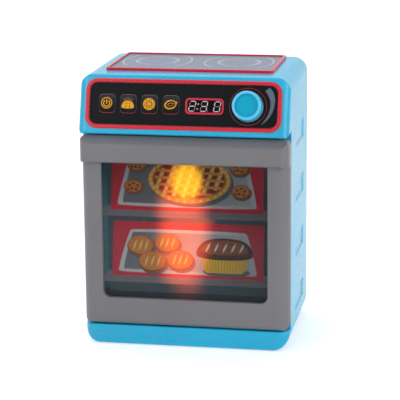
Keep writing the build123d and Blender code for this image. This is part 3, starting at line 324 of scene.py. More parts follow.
blueShell = shellPlastic()
greyDoor = mouldedPlastic("greyDoor", doorLook["colour"], doorLook["roughness"], grain=1300, grainStrength=0.08)
redTrim = mouldedPlastic("redTrim", trimLook["colour"], trimLook["roughness"], grainStrength=0.02, specular=0.35)
dress(["front_housing", "rear_housing", "battery_hatch"], blueShell.material)
dress(["door_shell", "door_inner_frame"], greyDoor.material)
dress(["hob_rim"], redTrim.material)
dress(["display_frame"], mouldedPlastic("displayFrame", trimLook["frame"], 0.3, grainStrength=0.02, specular=0.35).material)


def panelDistance(m, halfWidth, halfHeight, radius):
    # how far a point lies outside a rounded box on the panel, in metres
    aside = m.add("ShaderNodeVectorMath", operation="SUBTRACT")
    m.link(m.objectCoords(), aside.inputs[0])
    aside.inputs[1].default_value = panelOrigin
    terms = []
    for axis, half in ((mathutils.Vector((1, 0, 0)), halfWidth), (panelUp, halfHeight)):
        along = m.add("ShaderNodeVectorMath", operation="DOT_PRODUCT")
        m.link(aside.outputs[0], along.inputs[0])
        along.inputs[1].default_value = axis
        reach = m.math("SUBTRACT", m.math("ABSOLUTE", along.outputs["Value"]), (half - radius) * mm)
        terms.append(m.math("POWER", m.math("MAXIMUM", reach, 0.0), 2))
    return m.math("SUBTRACT", m.math("SQRT", m.math("ADD", *terms)), radius * mm)


def ringLook():
    # the ring's inner wall lies in its own shade, so its red is deeper there
    look = {"shade": rgb(120, 8, 26), "half": (89.0, 19.7), "radius": 7.5, "from": 0.25, "to": 1.0}
    ring = mouldedPlastic("ringTrim", trimLook["colour"], trimLook["roughness"], grainStrength=0.02, specular=0.4)
    distance = panelDistance(ring, *look["half"], look["radius"])
    base = ring.shader.inputs["Base Color"].links[0].from_socket
    depth = ring.fit(distance, look["from"] * mm, look["to"] * mm, smooth=True)
    ring.link(ring.mix(depth, look["shade"], base), ring.shader.inputs["Base Color"])
    return ring.material


dress(["panel_ring"], ringLook())


def smokedPane():
    # smoked plastic, clearer at the top and milkier towards its foot
    look = {"top": rgb(20, 23, 26), "foot": rgb(56, 62, 66), "from": 0.15, "to": 0.09, "cover": 0.38,
            "roughness": 0.06, "shine": 0.1}
    m = Nodes("smokedPane")
    smear = m.noise(35, 3, 0.6, (1, 1, 0.35))
    m.link(m.fit(smear, 0.35, 0.75, look["roughness"], look["roughness"] + 0.07), m.shader.inputs["Roughness"])
    haze = m.mix(m.fit(heightOf(m), look["from"], look["to"], smooth=True), look["top"], look["foot"])
    m.link(m.mix(m.fit(smear, 0.3, 0.7, 0, 0.2), haze, look["foot"]), m.shader.inputs["Base Color"])
    m.shader.inputs["Alpha"].default_value = look["cover"]
    m.shader.inputs["Specular IOR Level"].default_value = look["shine"]
    return m.material


dress(["door_window"], smokedPane())

# ---- control panel ----
panelLook = {
    "black": rgb(19, 22, 25), "keyReflection": rgb(46, 53, 62), "keyFoot": rgb(22, 10, 13),
    "icon": rgb(238, 170, 42), "iconShade": rgb(92, 58, 22), "grey": rgb(100, 112, 124),
    "edgeHighlightTop": rgb(168, 112, 114), "edgeHighlightSide": rgb(54, 50, 60), "edgeHighlightFoot": rgb(204, 44, 76),
    "shine": 0.07,
}


def glossBlack():
    m = Nodes("glossBlack")
    slow = m.noise(14, 2)
    m.link(m.mix(slow, panelLook["black"], tuple(c * 1.4 for c in panelLook["black"])), m.shader.inputs["Base Color"])
    m.link(m.fit(slow, 0.3, 0.7, 0.22, 0.3), m.shader.inputs["Roughness"])
    m.bump(m.noise(700, 2), 0.02, 0.0002)
    m.shader.inputs["Specular IOR Level"].default_value = panelLook["shine"]
    return m.material


def keyFace():
    # clear keys over a dark film, with a painted reflection that makes them paler towards their top
    m = Nodes("keyFace")
    middle = layout["panelHeight"] * mm
    slow = m.noise(90, 2)
    # painted reflection: the key face turns paler towards its top
    reflectionRise = m.fit(heightOf(m), middle - 0.001, middle + 0.008, smooth=True)
    filmAndReflection = m.mix(reflectionRise, panelLook["keyFoot"], panelLook["keyReflection"])
    m.link(m.mix(m.fit(slow, 0.3, 0.7, 0, 0.3), filmAndReflection, panelLook["black"]), m.shader.inputs["Base Color"])
    m.link(m.fit(slow, 0.3, 0.7, 0.12, 0.2), m.shader.inputs["Roughness"])
    m.shader.inputs["Specular IOR Level"].default_value = 2 * panelLook["shine"]
    return m.material


def keyEdgeHighlight():
    # a painted highlight along a key's edge: greyish pink on top, red below, faint at the sides
    m = Nodes("keyEdgeHighlight")
    middle = layout["panelHeight"] * mm
    z = heightOf(m)
    top = m.fit(z, middle + 0.005, middle + 0.008, smooth=True)
    foot = m.fit(z, middle - 0.006, middle - 0.008, smooth=True)
    colour = m.mix(foot, m.mix(top, panelLook["edgeHighlightSide"], panelLook["edgeHighlightTop"]), panelLook["edgeHighlightFoot"])
    highlightBreaks = m.noise(800, 2)
    m.link(m.mix(m.fit(highlightBreaks, 0.45, 0.7, 0, 0.3), colour, panelLook["black"]), m.shader.inputs["Base Color"])
    m.shader.inputs["Roughness"].default_value = 0.35
    return m.material


def printedInk(name, colour, roughness=0.4, drift=0.08):
    m = Nodes(name)
    speck = m.noise(1500, 2, 0.7)
    slow = m.noise(60, 2)
    dark = tuple(c * (1 - drift) for c in colour)
    light = tuple(min(1, c * (1 + drift)) for c in colour)
    base = m.mix(m.fit(slow, 0.3, 0.7), dark, light)
    thin = m.mix(m.fit(speck, 0.55, 0.8, 0, 0.35), base, tuple(c * 0.6 for c in colour))
    m.link(thin, m.shader.inputs["Base Color"])
    m.link(m.fit(speck, 0.3, 0.7, roughness - 0.05, roughness + 0.08), m.shader.inputs["Roughness"])
    m.shader.inputs["Specular IOR Level"].default_value = 2 * panelLook["shine"]
    return m.material


dress(["control_panel"], glossBlack())
dress(["power_key", "bread_key", "pizza_key", "fish_key"], keyFace())
iconInk = printedInk("iconInk", panelLook["icon"])
iconShade = printedInk("iconShade", panelLook["iconShade"])
edgeHighlightInk = keyEdgeHighlight()
scaleInk = printedInk("scaleInk", panelLook["grey"])

keys = {"names": ("power", "bread", "pizza", "fish"), "first": -72.4, "pitch": 20.33, "top": 0.42, "aside": -0.5,
        "line": 0.3, "inner": (15.0, 17.0, 3.3)}


class Icon:
    # collects the filled shapes and strokes of one key's sign, in millimetres about its middle
    def __init__(self, cx):
        self.cx = cx
        self.fills = []
        self.strips = []
        self.shades = []

    def fill(self, points, shade=False):
        (self.shades if shade else self.fills).append([(self.cx + x, s) for x, s in points])

    def stroke(self, points, width):
        inner, outer = strokeShape([(self.cx + x, s) for x, s in points], width)
        self.strips.append((inner, outer, False))

    def ring(self, inner, outer):
        self.strips.append(([(self.cx + x, s) for x, s in inner], [(self.cx + x, s) for x, s in outer], True))


def powerSign(icon):
    icon.ring(ellipse(0, 0.4, 4.55, 4.5), ellipse(0, 0.4, 5.4, 5.35))
    icon.stroke(ellipse(0, 0.2, 3.0, 3.0, 128, 412, 30), 1.0)
    icon.stroke([(0, 3.6), (0, -0.7)], 1.1)


def breadSign(icon):
    # a domed loaf on a flat foot with two joints in it, and steam that fans out above it
    icon.fill(blob([(-5.8, -4.5), (5.8, -4.5), (6.1, -1.4), (4.1, 2.2), (0, 3.3), (-4.1, 2.2), (-6.1, -1.4)], 2))
    for dx in (-1.9, 1.9):
        icon.fill(ellipse(dx, -2.9, 0.28, 1.5, count=14), shade=True)
    for dx in (-2.2, 0, 2.2):
        icon.fill(ellipse(dx, 0.4, 0.26, 0.8, lean=-9 * dx, count=12), shade=True)
    for number in range(5):
        dx = (number - 2) * 1.5
        foot = 4.0 - abs(dx) * 0.45
        icon.stroke([(dx, foot), (dx * 1.2, foot + 1.1), (dx * 1.4, foot + 2.1)], 0.32)


def pizzaSign(icon):
    # a round pizza with its toppings and the inner edge of its crust left dark
    icon.fill(ellipse(0, 0.2, 5.7, 5.6))
    for number in range(6):
        turn = 60 * number
        a, b, c = (math.radians(turn + step) for step in (8, 34, 4))
        icon.fill(ellipse(4.5 * math.cos(a), 0.2 + 4.4 * math.sin(a), 0.34, 1.25, lean=turn + 8, count=12), shade=True)
        icon.fill(ellipse(2.95 * math.cos(b), 0.2 + 2.85 * math.sin(b), 1.2, 0.6, lean=turn + 112, count=14), shade=True)
        icon.fill(ellipse(1.7 * math.cos(c), 0.2 + 1.7 * math.sin(c), 0.5, 0.42, count=10), shade=True)


def fishSign(icon):
    # an oval dish with a small fish in it, its tail over the rim
    lean = 14
    icon.ring(ellipse(0.3, 0.3, 4.6, 3.2, lean=lean), ellipse(-0.1, 0.1, 5.8, 4.35, lean=lean))
    icon.fill([(4.2, 1.4), (6.3, 3.3), (6.5, 2.2), (5.6, 0.2)])
    icon.stroke(ellipse(0.1, 0.2, 2.6, 1.4, 20, 200, 14, lean), 0.36)
    icon.stroke(ellipse(0.1, 0.2, 2.4, 1.35, 215, 335, 12, lean), 0.3)
    icon.fill([(2.0, 0.8), (3.4, 1.8), (3.2, 0.5)])
    for number in range(7):
        a = math.radians(178 + 23 * number)
        icon.fill(ellipse(5.0 * math.cos(a) - 0.1, 3.6 * math.sin(a) - 0.4, 0.42, 0.3, count=10), shade=True)


signs = {"power": powerSign, "bread": breadSign, "pizza": pizzaSign, "fish": fishSign}


def drawKey(name, keyX):
    icon = Icon(keyX + keys["aside"])
    signs[name](icon)
    body = name + "_button"
    if icon.fills:
        flatShape(name + "_icon_fill", icon.fills, onPanel, keys["top"], iconInk, body)
    if icon.shades:
        flatShape(name + "_icon_shade", icon.shades, onPanel, keys["top"] + 0.04, iconShade, body)
    for index, (inner, outer, closed) in enumerate(icon.strips):
        bandShape(f"{name}_icon_line_{index}", inner, outer, onPanel, keys["top"] + 0.02, iconInk, body, "red_trim", closed)
    # painted highlight around the key's edge, drawn on the panel
    width, height, radius = keys["inner"]
    grow = keys["line"]
    bandShape(name + "_outline", roundedBox(keyX, 0, width, height, radius),
              roundedBox(keyX, 0, width + 2 * grow, height + 2 * grow, radius + grow),
              onPanel, 0.03, edgeHighlightInk, "oven_body", "red_trim")


for index, keyName in enumerate(keys["names"]):
    drawKey(keyName, keys["first"] + keys["pitch"] * index)
print("stage: keys marked")


# loudness scale beside the dial: cut flat at its top, ending in a thin tip
scaleLook = {
    "inner": [(76.8, 15.1), (79.5, 11.1), (81.7, 5.9), (82.0, 0.1), (80.8, -5.2), (78.7, -9.9), (74.3, -16.3)],
    "outer": [(81.0, 18.1), (84.1, 14.1), (86.0, 8.3), (85.8, 1.3), (83.7, -5.7), (79.9, -11.6), (74.4, -16.6)],
}


def smoothLine(points, steps=6):
    fine = []
    last = len(points) - 1
    for i in range(last):
        p0, p1, p2, p3 = points[max(0, i - 1)], points[i], points[i + 1], points[min(last, i + 2)]
        for k in range(steps):
            t = k / steps
            fine.append(tuple(
                0.5 * (2 * b + (c - a) * t + (2 * a - 5 * b + 4 * c - d) * t ** 2 + (3 * b - a - 3 * c + d) * t ** 3)
                for a, b, c, d in zip(p0, p1, p2, p3)
            ))
    fine.append(points[-1])
    return fine


bandShape("dial_scale", smoothLine(scaleLook["inner"]), smoothLine(scaleLook["outer"]),
          onPanel, 0.03, scaleInk, "oven_body", "hob_grey", False)


# display: dark lens with slanted seven-segment digits
displayLook = {
    "x": 20.4, "level": -0.7, "lit": rgb(226, 206, 212), "unlit": rgb(134, 130, 132), "lens": rgb(16, 10, 12),
    "width": 5.5, "height": 9.2, "slant": 0.17, "bar": 0.72,
    "figures": ((-11.6, "2"), (-0.5, "3"), (11.9, "0")), "colon": ((-6.3, 2.1), (-6.3, -2.4)),
    "points": ((3.6, -4.3), (15.3, -4.3)),
}
barsOf = {"2": "top upRight middle lowLeft foot", "3": "top upRight middle lowRight foot",
          "0": "top upLeft upRight lowLeft lowRight foot"}


def displayLensLook():
    m = Nodes("displayLens")
    slow = m.noise(40, 2)
    m.link(m.mix(slow, displayLook["lens"], tuple(c * 0.6 for c in displayLook["lens"])), m.shader.inputs["Base Color"])
    m.link(m.fit(slow, 0.3, 0.7, 0.1, 0.18), m.shader.inputs["Roughness"])
    m.shader.inputs["Specular IOR Level"].default_value = panelLook["shine"]
    return m.material


def segmentInk(name, shade, glow):
    m = Nodes(name)
    fine = m.noise(900, 1)
    colour = m.mix(m.fit(fine, 0.3, 0.7), displayLook[shade], tuple(c * 0.8 for c in displayLook[shade]))
    m.link(colour, m.shader.inputs["Base Color"])
    m.link(colour, m.shader.inputs["Emission Color"])
    m.shader.inputs["Emission Strength"].default_value = glow
    m.shader.inputs["Roughness"].default_value = 0.45
    return m.material


dress(["display_lens"], displayLensLook())
litInk = segmentInk("segmentLit", "lit", 0.2)
unlitInk = segmentInk("segmentUnlit", "unlit", 0.02)


def leaned(cx, points):
    x0, level = displayLook["x"] + cx, displayLook["level"]
    return [(x0 + x + y * displayLook["slant"], level + y) for x, y in points]


def bar(start, end):
    # one bar of a figure, a slim hexagon
    thick = displayLook["bar"]
    size = math.hypot(end[0] - start[0], end[1] - start[1])
    ux, uy = (end[0] - start[0]) / size, (end[1] - start[1]) / size
    half = thick / 2
    reach = size - 1.1 * thick
    shape = [(0, 0), (half, half), (reach - half, half), (reach, 0), (reach - half, -half), (half, -half)]
    ox, oy = start[0] + 0.55 * thick * ux, start[1] + 0.55 * thick * uy
    return [(ox + a * ux - b * uy, oy + a * uy + b * ux) for a, b in shape]


def drawFigures():
    w, h = displayLook["width"] / 2, displayLook["height"] / 2
    bars = {
        "top": ((-w, h), (w, h)), "middle": ((-w, 0), (w, 0)), "foot": ((-w, -h), (w, -h)),
        "upLeft": ((-w, 0), (-w, h)), "upRight": ((w, 0), (w, h)),
        "lowLeft": ((-w, -h), (-w, 0)), "lowRight": ((w, -h), (w, 0)),
    }
    lit, unlit = [], []
    for cx, figure in displayLook["figures"]:
        for name, ends in bars.items():
            group = lit if name in barsOf[figure].split() else unlit
            group.append(leaned(cx, bar(*ends)))
    for cx, y in displayLook["colon"]:
        lit.append(leaned(cx, ellipse(0, y, 0.6, 0.6, count=14)))
    for cx, y in displayLook["points"]:
        unlit.append(leaned(cx, ellipse(0, y, 0.5, 0.5, count=14)))
    flatShape("display_digits", lit, onPanel, 0.06, litInk, "oven_body")
    flatShape("display_unlit_bars", unlit, onPanel, 0.05, unlitInk, "oven_body")


drawFigures()
print("stage: display drawn")


# dial
dialLook = {"light": rgb(84, 206, 246), "dark": rgb(0, 172, 208), "ring": rgb(150, 36, 34)}
dress(["knob"], mouldedPlastic("dialBlue", dialLook["light"], 0.22, grainStrength=0.015, drift=0.03, coat=0.3).material)
dress(["knob_cap"], mouldedPlastic("dialRecess", dialLook["dark"], 0.4, grainStrength=0.02, drift=0.04,
                                   specular=0.2).material)
dress(["knob_ring"], mouldedPlastic("ringRed", dialLook["ring"], 0.3, grainStrength=0.02, specular=0.2).material)

# ---- hob ----
hobLook = {
    "plate": rgb(102, 116, 144), "line": rgb(226, 232, 244), "middle": rgb(107, 117, 147), "centres": (-40.7, 39.8), "depth": 84.5,
    "outer": (33.2, 44.0), "inner": (18.4, 25.0), "mark": (20.5, 27.5), "stroke": 0.8,
}


def hobPlateLook(name, colour):
    m = Nodes(name)
    fine = m.noise(1100, 2, 0.7)
    slow = m.noise(18, 2)
    m.link(m.mix(m.fit(slow, 0.3, 0.7), tuple(c * 0.93 for c in colour), tuple(c * 1.06 for c in colour)), m.shader.inputs["Base Color"])
    m.link(m.fit(fine, 0.3, 0.7, 0.3, 0.42), m.shader.inputs["Roughness"])
    m.bump(fine, 0.05, 0.0002)
    return m.material


dress(["hob_plate"], hobPlateLook("hobPlate", hobLook["plate"]))
zoneInk = printedInk("zoneInk", hobLook["line"], 0.5)
zoneMiddle = hobPlateLook("zoneMiddle", hobLook["middle"])


def onHob(x, depth, out=0.0):
    return place(x, depth, hobTop + out)


def drawZones():
    # two oval cooking zones, each with side arcs, an inner ring in two halves and short marks at its ends
    arcs = {"outer": ((-46, 46), (134, 226)), "inner": ((4, 176), (184, 356)), "mark": ((-30, 30), (150, 210))}
    for side, cx in enumerate(hobLook["centres"]):
        rx, ry = hobLook["inner"]
        flatShape(f"zone_{side}_middle", ellipse(cx, hobLook["depth"], rx, ry), onHob, 0.02, zoneMiddle, "oven_body")
        for kind, spans in arcs.items():
            rx, ry = hobLook[kind]
            for index, (a0, a1) in enumerate(spans):
                arc = ellipse(cx, hobLook["depth"], rx, ry, a0, a1, 24)
                bandShape(f"zone_{side}_{kind}_{index}", *strokeShape(arc, hobLook["stroke"]),
                          onHob, 0.04, zoneInk, "oven_body", "hob_grey", False)


drawZones()
print("stage: hob drawn")


# ---- lit chamber ----
# Painted light of a warm lamp shining through the cards: a yellow spot high up, a wide red-orange patch below it
glowLook = {
    "spot": (-0.5, 160.0), "spotReach": (18.5, 21.5), "spotColour": (1.0, 0.64, 0.0), "spotPower": 1.6,
    "spotBase": (0.9, 0.42, 0.0),
    "patch": (-4.5, 110.0), "patchReach": (34.0, 86.0), "patchFall": 1.6,
    "haze": (1.84, 0.17, 0.05), "warmth": (1.3, 1.0, 0.6),
    "wide": (-40.0, 90.0), "wideReach": (110.0, 90.0), "wideLight": (0.48, 0.45, 0.43),
    "backlight": 0.37, "inShade": 0.6,
}


def glowMask(m, x, z, centre, reach, power, soft):
    # 1 in the middle, 0 past an oval of the given reach
    terms = []
    for value, middle, size in ((x, centre[0], reach[0]), (z, centre[1], reach[1])):
        off = m.math("ABSOLUTE", m.math("MULTIPLY", m.math("SUBTRACT", value, middle * mm), 1 / (size * mm)))
        terms.append(m.math("POWER", off, power))
    return m.fit(m.math("ADD", *terms), 1.0, soft, smooth=True)


def addGlow(m, base, power=1.0):
    # painted light, as emission, of the lamp coming through the printed sheet: an even backlight, the warm patch and
    # the yellow spot
    look = glowLook
    split = m.add("ShaderNodeSeparateXYZ")
    m.link(m.objectCoords(), split.inputs[0])
    x, z = split.outputs["X"], split.outputs["Z"]
    spot = glowMask(m, x, z, look["spot"], look["spotReach"], 2, 0.15)
    warm = m.math("POWER", glowMask(m, x, z, look["patch"], look["patchReach"], 2, 0.0), look["patchFall"])
    wide = glowMask(m, x, z, look["wide"], look["wideReach"], 2, 0.0)
    even = tuple(look["backlight"] for _ in range(3))
    broad = m.mix(wide, even, tuple(b + w for b, w in zip(even, look["wideLight"])))
    light = m.mix(warm, broad, tuple(b + w for b, w in zip(even, look["warmth"])))
    shine = m.mix(warm, (0, 0, 0), tuple(c * power for c in look["haze"]))
    core = m.mix(spot, (0, 0, 0), tuple(c * look["spotPower"] * power for c in look["spotColour"]))
    for kind, value in (("MULTIPLY", base), ("ADD", shine), ("ADD", core)):
        blend = m.add("ShaderNodeMix", data_type="RGBA", blend_type=kind)
        blend.inputs[0].default_value = 1.0
        m.link(light, blend.inputs[6])
        m.link(value, blend.inputs[7])
        light = blend.outputs[2]
    m.link(light, m.shader.inputs["Emission Color"])
    m.shader.inputs["Emission Strength"].default_value = 1.0
    # painted shade darkens the base colour, and the yellow spot is painted into it as painted light
    shaded = m.mix(look["inShade"], base, (0, 0, 0))
    m.link(m.mix(spot, shaded, look["spotBase"]), m.shader.inputs["Base Color"])


def printedCard(name, colour, roughness=0.35, drift=0.06, speck=0.25, power=1.0):
    m = Nodes(name)
    slow = m.noise(30, 3)
    fine = m.noise(1200, 2, 0.7)
    base = m.mix(m.fit(slow, 0.3, 0.7), tuple(c * (1 - drift) for c in colour), tuple(min(1, c * (1 + drift)) for c in colour))
    m.link(m.fit(fine, 0.3, 0.7, roughness, roughness + 0.1), m.shader.inputs["Roughness"])
    m.shader.inputs["Specular IOR Level"].default_value = 0.2
    addGlow(m, m.mix(m.fit(fine, 0.55, 0.8, 0, speck), base, tuple(c * 0.7 for c in colour)), power)
    return m.material


cards = {
    "lean": 10.0, "depth": 13.0, "foot": {"lower": 64.8 + 0.1 + 1.6 * math.sin(math.radians(10)), "upper": 130.2 + 0.1 + 1.6 * math.sin(math.radians(10))},
    "height": {"lower": 53.3, "upper": 60.0}, "width": 147.0,
}


def trayLook():
    # a grey tray floor that gets paler towards its right side
    m = Nodes("trayGrey")
    split = m.add("ShaderNodeSeparateXYZ")
    m.link(m.objectCoords(), split.inputs[0])
    slow = m.noise(30, 3)
    fine = m.noise(1200, 2, 0.7)
    across = m.fit(m.math("ADD", split.outputs["X"], m.math("MULTIPLY", split.outputs["Z"], -0.5)), -0.12, 0.02, smooth=True)
    base = m.mix(across, rgb(112, 116, 124), rgb(196, 202, 210))
    m.link(m.fit(fine, 0.3, 0.7, 0.35, 0.45), m.shader.inputs["Roughness"])
    m.shader.inputs["Specular IOR Level"].default_value = 0.2
    addGlow(m, m.mix(m.fit(slow, 0.3, 0.7, 0, 0.12), base, rgb(120, 120, 122)))
    return m.material


cardInks = {
    "red": printedCard("cardRed", rgb(210, 50, 70)),
    "tray": trayLook(),
    "trayRim": printedCard("trayRim", rgb(206, 210, 216)),
    "trayDark": printedCard("trayDark", rgb(104, 108, 114)),
    "crust": printedCard("crustGold", rgb(236, 164, 62), drift=0.16),
    "crustEdge": printedCard("crustEdge", rgb(176, 104, 36), drift=0.16),
    "crustLight": printedCard("crustLight", rgb(250, 208, 122), drift=0.1),
    "berry": printedCard("berryRed", rgb(150, 34, 38), drift=0.2),
    "chip": printedCard("chipBrown", rgb(74, 42, 30), drift=0.15),
    "bun": printedCard("bunOrange", rgb(214, 136, 66), drift=0.14),
    "bunDark": printedCard("bunShade", rgb(150, 84, 42), drift=0.14),
    "yellow": printedCard("dishYellow", rgb(246, 206, 60), drift=0.1),
    "yellowDark": printedCard("dishShade", rgb(206, 158, 30), drift=0.1),
    "cream": printedCard("creamWhite", rgb(240, 232, 214)),
}


def cardFace(which):
    lean = math.radians(cards["lean"])
    foot = place(0, cards["depth"], cards["foot"][which])
    up = mathutils.Vector((0, math.sin(lean), math.cos(lean)))
    away = mathutils.Vector((0, -math.cos(lean), math.sin(lean)))

    def spot(x, s, out):
        return foot + mathutils.Vector((x * mm, 0, 0)) + up * (s * mm) + away * (out * mm)

    return spot


def patch(which, name, outline, ink, layer):
    flatShape(f"{which}_{name}", outline, cardFace(which), 0.05 * layer, cardInks[ink], "oven_body")


def line(which, name, points, width, ink, layer):
    bandShape(f"{which}_{name}", *strokeShape(points, width), cardFace(which), 0.05 * layer, cardInks[ink], "oven_body", "card_print", False)


def drawTray(which, low, high, wide, narrow):
    # a sheet seen from above and in front, so it narrows towards its far side
    patch(which, "tray_rim", blob([(-wide, low + 3), (-wide + 2, low), (wide - 2, low), (wide, low + 3), (narrow + 2, high - 3), (narrow - 2, high), (-narrow + 2, high), (-narrow - 2, high - 3)], 2), "trayRim", 1)
    patch(which, "tray_floor", blob([(-wide + 5, low + 4), (-wide + 7, low + 3), (wide - 7, low + 3), (wide - 5, low + 4), (narrow - 1, high - 4), (narrow - 3, high - 3), (-narrow + 3, high - 3), (-narrow + 1, high - 4)], 2), "tray", 2)


def drawUpperCard():
    # a berry pie with a plaited top on the left of the middle, cookies to its right
    which = "upper"
    drawTray(which, 4.5, 66.0 - 7.5, 68, 54)
    cx, cy = 2, 31
    patch(which, "pie_shadow", ellipse(cx + 2, cy - 3, 41, 23), "trayDark", 4)
    patch(which, "pie_crust", ellipse(cx, cy, 40, 22.5), "crust", 5)
    patch(which, "pie_crust_edge", ellipse(cx, cy + 0.5, 35.5, 19), "crustEdge", 6)
    patch(which, "pie_filling", ellipse(cx, cy + 0.8, 34, 18), "berry", 7)
    for index in range(-3, 4):
        reach = math.sqrt(max(0, 1 - (index * 9.4 / 34) ** 2)) * 17.4
        line(which, f"pie_strip_up_{index + 3}", [(cx + index * 9.4 + t * 0.35 * reach, cy + 0.8 + t * reach) for t in (-1, -0.5, 0, 0.5, 1)], 3.6, "crustLight", 8)
    for index in range(-2, 3):
        reach = math.sqrt(max(0, 1 - (index * 6.6 / 18) ** 2)) * 33.4
        line(which, f"pie_strip_across_{index + 2}", [(cx + t * reach, cy + 0.8 + index * 6.6 - t * 1.2) for t in (-1, -0.5, 0, 0.5, 1)], 2.5, "crust", 9)
    for index in range(30):
        a = 12 * index
        x, s = cx + 37.6 * math.cos(math.radians(a)), cy + 20.7 * math.sin(math.radians(a))
        patch(which, f"pie_crimp_{index}", ellipse(x, s, 1.5, 1.9, lean=a, count=12), "crustLight", 6)
    for number, (x, s) in enumerate(((52, 21), (50, 43), (-52, 23), (-49, 44))):
        patch(which, f"cookie_{number}_shadow", ellipse(x + 1, s - 1.2, 9.6, 7.2), "trayDark", 4)
        patch(which, f"cookie_{number}", ellipse(x, s, 9.4, 7.0), "bunDark", 5)
        patch(which, f"cookie_{number}_top", ellipse(x - 0.3, s + 0.6, 8.2, 5.8), "bun", 6)
        for k, (dx, dy) in enumerate(((-4, 1.5), (0, 3.4), (3.8, 1.2), (-1.5, -1.6), (2.6, -2.6), (-5, -2.2))):
            patch(which, f"cookie_{number}_chip_{k}", ellipse(x + dx, s + dy, 1.25, 1.0, count=12, lean=30 * k), "chip", 7)


def cutWidth(t):
    # a baker's cut: pointed at both ends
    return 2.0 * math.sin(math.pi * min(0.96, max(0.04, t))) + 0.2


def drawLowerCard():
    # scored bread rolls on the left, a roast loaf in a ribbed yellow dish on the right
    which = "lower"
    drawTray(which, 4.0, 46.5, 68, 56)
    for number, (x, s, r) in enumerate(((-46, 30, 13.5), (-20, 33, 13.0), (-34, 15, 14.0), (-7, 17, 13.5))):
        patch(which, f"roll_{number}_shadow", ellipse(x + 1.5, s - 2, r, r * 0.74), "trayDark", 4 + 2 * (number > 1))
        patch(which, f"roll_{number}", ellipse(x, s, r, r * 0.74), "bunDark", 5 + 2 * (number > 1))
        patch(which, f"roll_{number}_top", ellipse(x - 0.4, s + 1.0, r * 0.92, r * 0.64), "bun", 6 + 2 * (number > 1))
        for k in (-1, 0, 1):
            cut = [(x + k * r * 0.42 + t * r * 0.12, s + 1 + t * r * 0.36) for t in (-1, -0.4, 0.3, 1)]
            line(which, f"roll_{number}_cut_{k + 1}", cut, cutWidth, "crustLight", 7 + 2 * (number > 1))
    cx, cy = 36, 20
    patch(which, "dish_shadow", ellipse(cx + 2, cy - 12.5, 23, 4.5), "trayDark", 4)
    patch(which, "dish", [(cx - 23.5, cy + 3), (cx + 23.5, cy + 3), (cx + 20, cy - 11), (cx + 17, cy - 13.5),
                          (cx - 17, cy - 13.5), (cx - 20, cy - 11)], "yellow", 5)
    for k in range(-7, 8):
        line(which, f"dish_rib_{k + 7}", [(cx + k * 3.1, cy + 1), (cx + k * 2.55, cy - 12.2)], 0.9, "yellowDark", 6)
    patch(which, "loaf", blob([(cx - 27, cy - 1), (cx + 27, cy - 1), (cx + 28, cy + 9), (cx + 17, cy + 20),
                               (cx - 17, cy + 20), (cx - 28, cy + 9)], 3), "chip", 7)
    patch(which, "loaf_top", blob([(cx - 22, cy + 4), (cx + 22, cy + 4), (cx + 22, cy + 11), (cx + 13, cy + 18),
                                   (cx - 14, cy + 18), (cx - 23, cy + 11)], 3), "bunDark", 8)
    for k in range(-2, 3):
        cut = [(cx + k * 8.2 - 2 + t * 4, cy + 6.5 + t * 8.5) for t in (0, 0.33, 0.66, 1)]
        line(which, f"loaf_cut_{k + 2}", cut, cutWidth, "cream", 9)


drawUpperCard()
drawLowerCard()
dress(["upper_card", "lower_card"], cardInks["red"])


def shelfLook():
    m = Nodes("shelfGrey")
    slow = m.noise(20, 2)
    fine = m.noise(900, 2)
    m.link(m.fit(fine, 0.3, 0.7, 0.35, 0.45), m.shader.inputs["Roughness"])
    m.bump(fine, 0.05, 0.0002)
    addGlow(m, m.mix(slow, rgb(116, 114, 122), rgb(130, 128, 136)), 0.9)
    return m.material


def chamberLook():
    m = Nodes("chamberDark")
    slow = m.noise(16, 3)
    fine = m.noise(800, 2)
    m.link(m.fit(fine, 0.3, 0.7, 0.45, 0.6), m.shader.inputs["Roughness"])
    m.bump(fine, 0.08, 0.0002)
    m.shader.inputs["Specular IOR Level"].default_value = 0.2
    addGlow(m, m.mix(slow, rgb(66, 88, 96), rgb(76, 98, 106)), 0.85)
    return m.material


dress(["upper_shelf", "lower_shelf"], shelfLook())
dress(["chamber_back"], chamberLook())
print("stage: chamber and cards drawn")


# ---- inner pieces, feet and fasteners ----
def metalLook(name, colour, roughness):
    m = Nodes(name)
    brushed = m.noise(260, 3, 0.6, (1, 1, 14))
    m.link(m.mix(brushed, tuple(c * 0.8 for c in colour), tuple(min(1, c * 1.15) for c in colour)), m.shader.inputs["Base Color"])
    m.link(m.fit(brushed, 0.3, 0.7, roughness - 0.06, roughness + 0.08), m.shader.inputs["Roughness"])
    m.shader.inputs["Metallic"].default_value = 1.0
    return m.material


def rubberLook():
    m = Nodes("footRubber")
    fine = m.noise(600, 3, 0.6)
    m.link(m.mix(fine, rgb(30, 30, 32), rgb(52, 52, 54)), m.shader.inputs["Base Color"])
    m.link(m.fit(fine, 0.3, 0.7, 0.75, 0.9), m.shader.inputs["Roughness"])
    m.bump(fine, 0.2, 0.0003)
    return m.material


def lampLook():
    m = Nodes("lampResin")
    slow = m.noise(300, 1)
    m.link(m.mix(slow, rgb(255, 214, 130), rgb(255, 190, 90)), m.shader.inputs["Base Color"])
    m.link(m.mix(slow, (1.0, 0.55, 0.12), (1.0, 0.42, 0.06)), m.shader.inputs["Emission Color"])
    m.shader.inputs["Emission Strength"].default_value = 1.2
    m.shader.inputs["Roughness"].default_value = 0.2
    return m.material


def boardLook():
    m = Nodes("boardGreen")
    slow = m.noise(120, 3)
    tracks = m.noise(420, 1, 0.4, (1, 0.2, 2.5))
    base = m.mix(m.fit(tracks, 0.5, 0.54), rgb(22, 84, 50), rgb(34, 112, 66))
    m.link(m.mix(m.fit(slow, 0.3, 0.7, 0, 0.3), base, rgb(16, 60, 38)), m.shader.inputs["Base Color"])
    m.shader.inputs["Roughness"].default_value = 0.35
    return m.material


